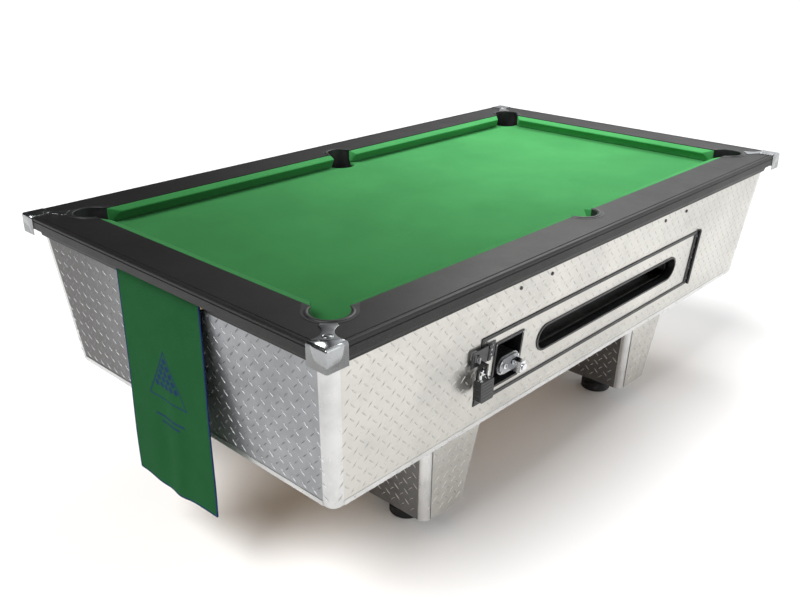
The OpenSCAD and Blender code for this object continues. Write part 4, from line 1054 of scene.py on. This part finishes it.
# ------------------------------------------------------------------ metalwork details
def screw(name, place, r, body, material="plated_steel"):
    """A domed screw head with a cross slot, on a face whose outward normal is local Z."""
    seg = 28
    prof = [(r, 0.0), (r, r * 0.18), (r * 0.86, r * 0.36), (r * 0.5, r * 0.47), (r * 0.12, r * 0.5)]
    verts = []
    for rr, h in prof:
        for i in range(seg):
            q = 2 * math.pi * i / seg
            x, y = rr * math.cos(q), rr * math.sin(q)
            slotted = rr < r * 0.7 and (abs(x) < r * 0.13 or abs(y) < r * 0.13)
            verts.append(place @ Vector((x, y, h - (r * 0.28 if slotted else 0.0))))
    verts.append(place @ Vector((0, 0, r * 0.15)))
    from_lists(name, verts, domed_faces(len(prof), seg), material, body)


def coin_mechanism():
    """Screws and a lock on the face plate; coin slots, a plate and a grip on the slide."""
    lo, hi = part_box("coin_mech_body")
    front = upright((lo[0] + hi[0]) / 2, lo[1], (lo[2] + hi[2]) / 2)
    for i, (dx, dz) in enumerate(((-0.034, 0.013), (-0.034, -0.013), (0.034, 0.013), (0.034, -0.013))):
        screw("mech_screw_%d" % i, front @ Matrix.Translation((dx, dz, 0)), 0.0035, "table", "chromed_steel")
    lock = front @ Matrix.Translation((-0.020, 0.0, -0.0005))
    prism("mech_lock", disc(0.0078), lock, 0.004, "chromed_steel", "table", 0.0008)
    keyhole = lock @ Matrix.Translation((0, 0, 0.0037))
    # Painted shade: a dark sheet for the keyhole's hollow
    prism("mech_keyhole_shade", rounded_rect(0.0022, 0.008, 0.001, 3), keyhole, 0.0006, "painted_hollow_shade", "table")
    lo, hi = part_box("coin_slide")
    x, y, z = (lo[0] + hi[0]) / 2, lo[1], (lo[2] + hi[2]) / 2
    top = Matrix.Translation((x, y + 0.022, hi[2] - 0.0004))
    # Painted shade: dark sheets for the coin slots' hollows
    for i, dy in enumerate((-0.006, 0.006)):
        place = top @ Matrix.Translation((0, dy, 0))
        prism("coin_slot_%d" % i, rounded_rect(0.016, 0.0026, 0.0012, 3), place, 0.00045, "painted_hollow_shade", "slide")
    face = upright(x, y + 0.007, z) @ Matrix.Translation((0, 0, -0.0002))
    prism("slide_plate", rounded_rect(0.0215, 0.0295, 0.004), face, 0.0016, "chromed_steel", "slide", 0.0006)
    grip = upright(x, y + 0.0028, z)
    seg, prof = 36, [(0.0088, 0.0), (0.0094, 0.0016), (0.0086, 0.0028), (0.0060, 0.0022)]
    verts = []
    for r, h in prof:
        for i in range(seg):
            q = 2 * math.pi * i / seg
            verts.append(grip @ Vector((r * math.cos(q), r * math.sin(q), h)))
    verts.append(grip @ Vector((0, 0, 0.0016)))
    from_lists("slide_grip", verts, domed_faces(len(prof), seg), "chromed_steel", "slide")


def fixings():
    """Screws in the recess frame, the hinge, the edging, the hasp and the bottom trims."""
    lo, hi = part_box("recess_frame")
    x, z = (lo[0] + hi[0]) / 2, (lo[2] + hi[2]) / 2 + 0.001
    for i, (dx, dz) in enumerate((dx, dz) for dx in (-0.055, 0.055) for dz in (-0.060, 0.060)):
        screw("recess_screw_%d" % i, face_matrix(x + dx, z + dz, 0.0025), 0.0022, "door")
    lo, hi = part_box("door_panel")
    for i in range(5):
        z = lo[2] + 0.018 + i * (hi[2] - lo[2] - 0.036) / 4
        screw("door_hinge_screw_%d" % i, face_matrix(hi[0] - 0.0085, z, 0.0017), 0.0022, "door")
        screw("frame_hinge_screw_%d" % i, face_matrix(hi[0] + 0.0115, z, 0.0017), 0.0022, "table")
    for i, x in enumerate((-0.4, 0.0, 0.34)):
        for j, z in enumerate((lo[2] + 0.005, hi[2] - 0.005)):
            screw("edging_screw_%d%d" % (i, j), face_matrix(x, z, 0.0025), 0.0020, "door", "black_steel")
    lo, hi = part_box("hasp_base")
    for i, dz in enumerate((-0.013, 0.0, 0.013)):
        screw("hasp_screw_%d" % i, face_matrix(-0.486, (lo[2] + hi[2]) / 2 + dz, 0.0025), 0.0026, "door")
    turn = Matrix.Rotation(math.pi, 4, "Z")
    for i in range(11):
        place = face_matrix(-0.93 + i * 0.186, Z_LOW + 0.006, 0.0012)
        screw("front_trim_screw_%d" % i, place, 0.0022, "table")
        screw("back_trim_screw_%d" % i, turn @ place, 0.0022, "table")


def padlock():
    """Bumper bands round the body, a keyway plate under it and a collar round each leg of the shackle."""
    lo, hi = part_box("padlock_body")
    w, t = hi[0] - lo[0], hi[1] - lo[1]
    x, y = (lo[0] + hi[0]) / 2, (lo[1] + hi[1]) / 2
    band = rounded_rect(w + 0.0012, t + 0.0012, 0.006)
    for i in range(5):
        place = Matrix.Translation((x, y, lo[2] + (0.010 + i * 0.0085)))
        prism("padlock_band_%d" % i, band, place, 0.0035, "black_steel", "padlock", 0.0008)
    place = Matrix.Translation((x, y, lo[2] - 0.0006))
    prism("padlock_core", disc(0.0075), place, 0.002, "zinc_casting", "padlock", 0.0005)
    for i, s in enumerate((-1, 1)):
        place = Matrix.Translation((x + s * 0.014, y, hi[2] - 0.0008))
        prism("padlock_collar_%d" % i, disc(0.0066), place, 0.0018, "chromed_steel", "padlock", 0.0005)


def bolt_sockets():
    r = 0.0025
    hexagon = [(r * math.cos(math.radians(q)), r * math.sin(math.radians(q))) for q in range(0, 360, 60)]
    half_turn = Matrix.Rotation(math.pi, 4, "Z")
    for i, x in enumerate(BOLTS):
        for tag, turn, xx in (("front", Matrix.Identity(4), x), ("back", half_turn, -x)):
            place = turn @ face_matrix(xx, Z_BODY - 0.019, 0.0016)
            # Painted shade: a dark hexagon for each bolt socket's hollow
            prism("bolt_socket_%s_%d" % (tag, i), hexagon, place, 0.0006, "painted_hollow_shade", "table")


# ------------------------------------------------------------------ build
MATS = make_materials()
camera()
slots = {part["node"]: part["material_slot"] for part in frame["record"]["subparts"]}
for name, ob in nodes.items():
    ob.data.materials.clear()
    ob.data.materials.append(MATS[slots[name]])
# The end sheets get the shaded copy of the plate: painted shade
nodes["end_tread_plates"].data.materials.clear()
nodes["end_tread_plates"].data.materials.append(MATS["tread_plate_shaded"])
# The plates on the legs get a darker copy on their end faces than on their sides: painted shade
plates = nodes["leg_tread_plates"].data
plates.materials.append(MATS["leg_end_shaded"])
for face in plates.polygons:
    face.material_index = int(abs(face.normal.x) > 0.8)
for name, width in (("corner_pocket_liners", 0.0016), ("middle_pocket_liners", 0.0016), ("door_edging", 0.0008),
                    ("slot_edging", 0.0009), ("recess_frame", 0.0009), ("hasp_leaf", 0.0008),
                    ("hasp_base", 0.0006), ("hasp_staple", 0.0008), ("padlock_body", 0.0015),
                    ("coin_mech_body", 0.0025), ("coin_slide", 0.0014), ("rail_bolts", 0.0007),
                    ("foot_front_left", 0.002), ("foot_front_right", 0.002),
                    ("foot_back_left", 0.002), ("foot_back_right", 0.002)):
    bevel(nodes[name], width, 3 if width > 0.001 else 2)

tread_plates()
cushions()
bed()
corner_caps()
pocket_rings()
coin_mechanism()
fixings()
padlock()
bolt_sockets()
towel()

bpy.context.scene.view_settings.view_transform = "Standard"
make_floor()
world_light()
sun_light((1.0, -0.10, -1.25), 3.8, 38, (1.0, 0.995, 0.985))
area_light("front", (0.3, -4.0, 1.6), (0.1, -0.5, 0.3), (4.0, 1.6), 22, (1.0, 0.97, 0.93))
area_light("far_end", (1.5, 0.4, 2.5), (0.75, 0.0, 0.76), (1.4, 1.4), 30, (1.0, 1.0, 0.98))
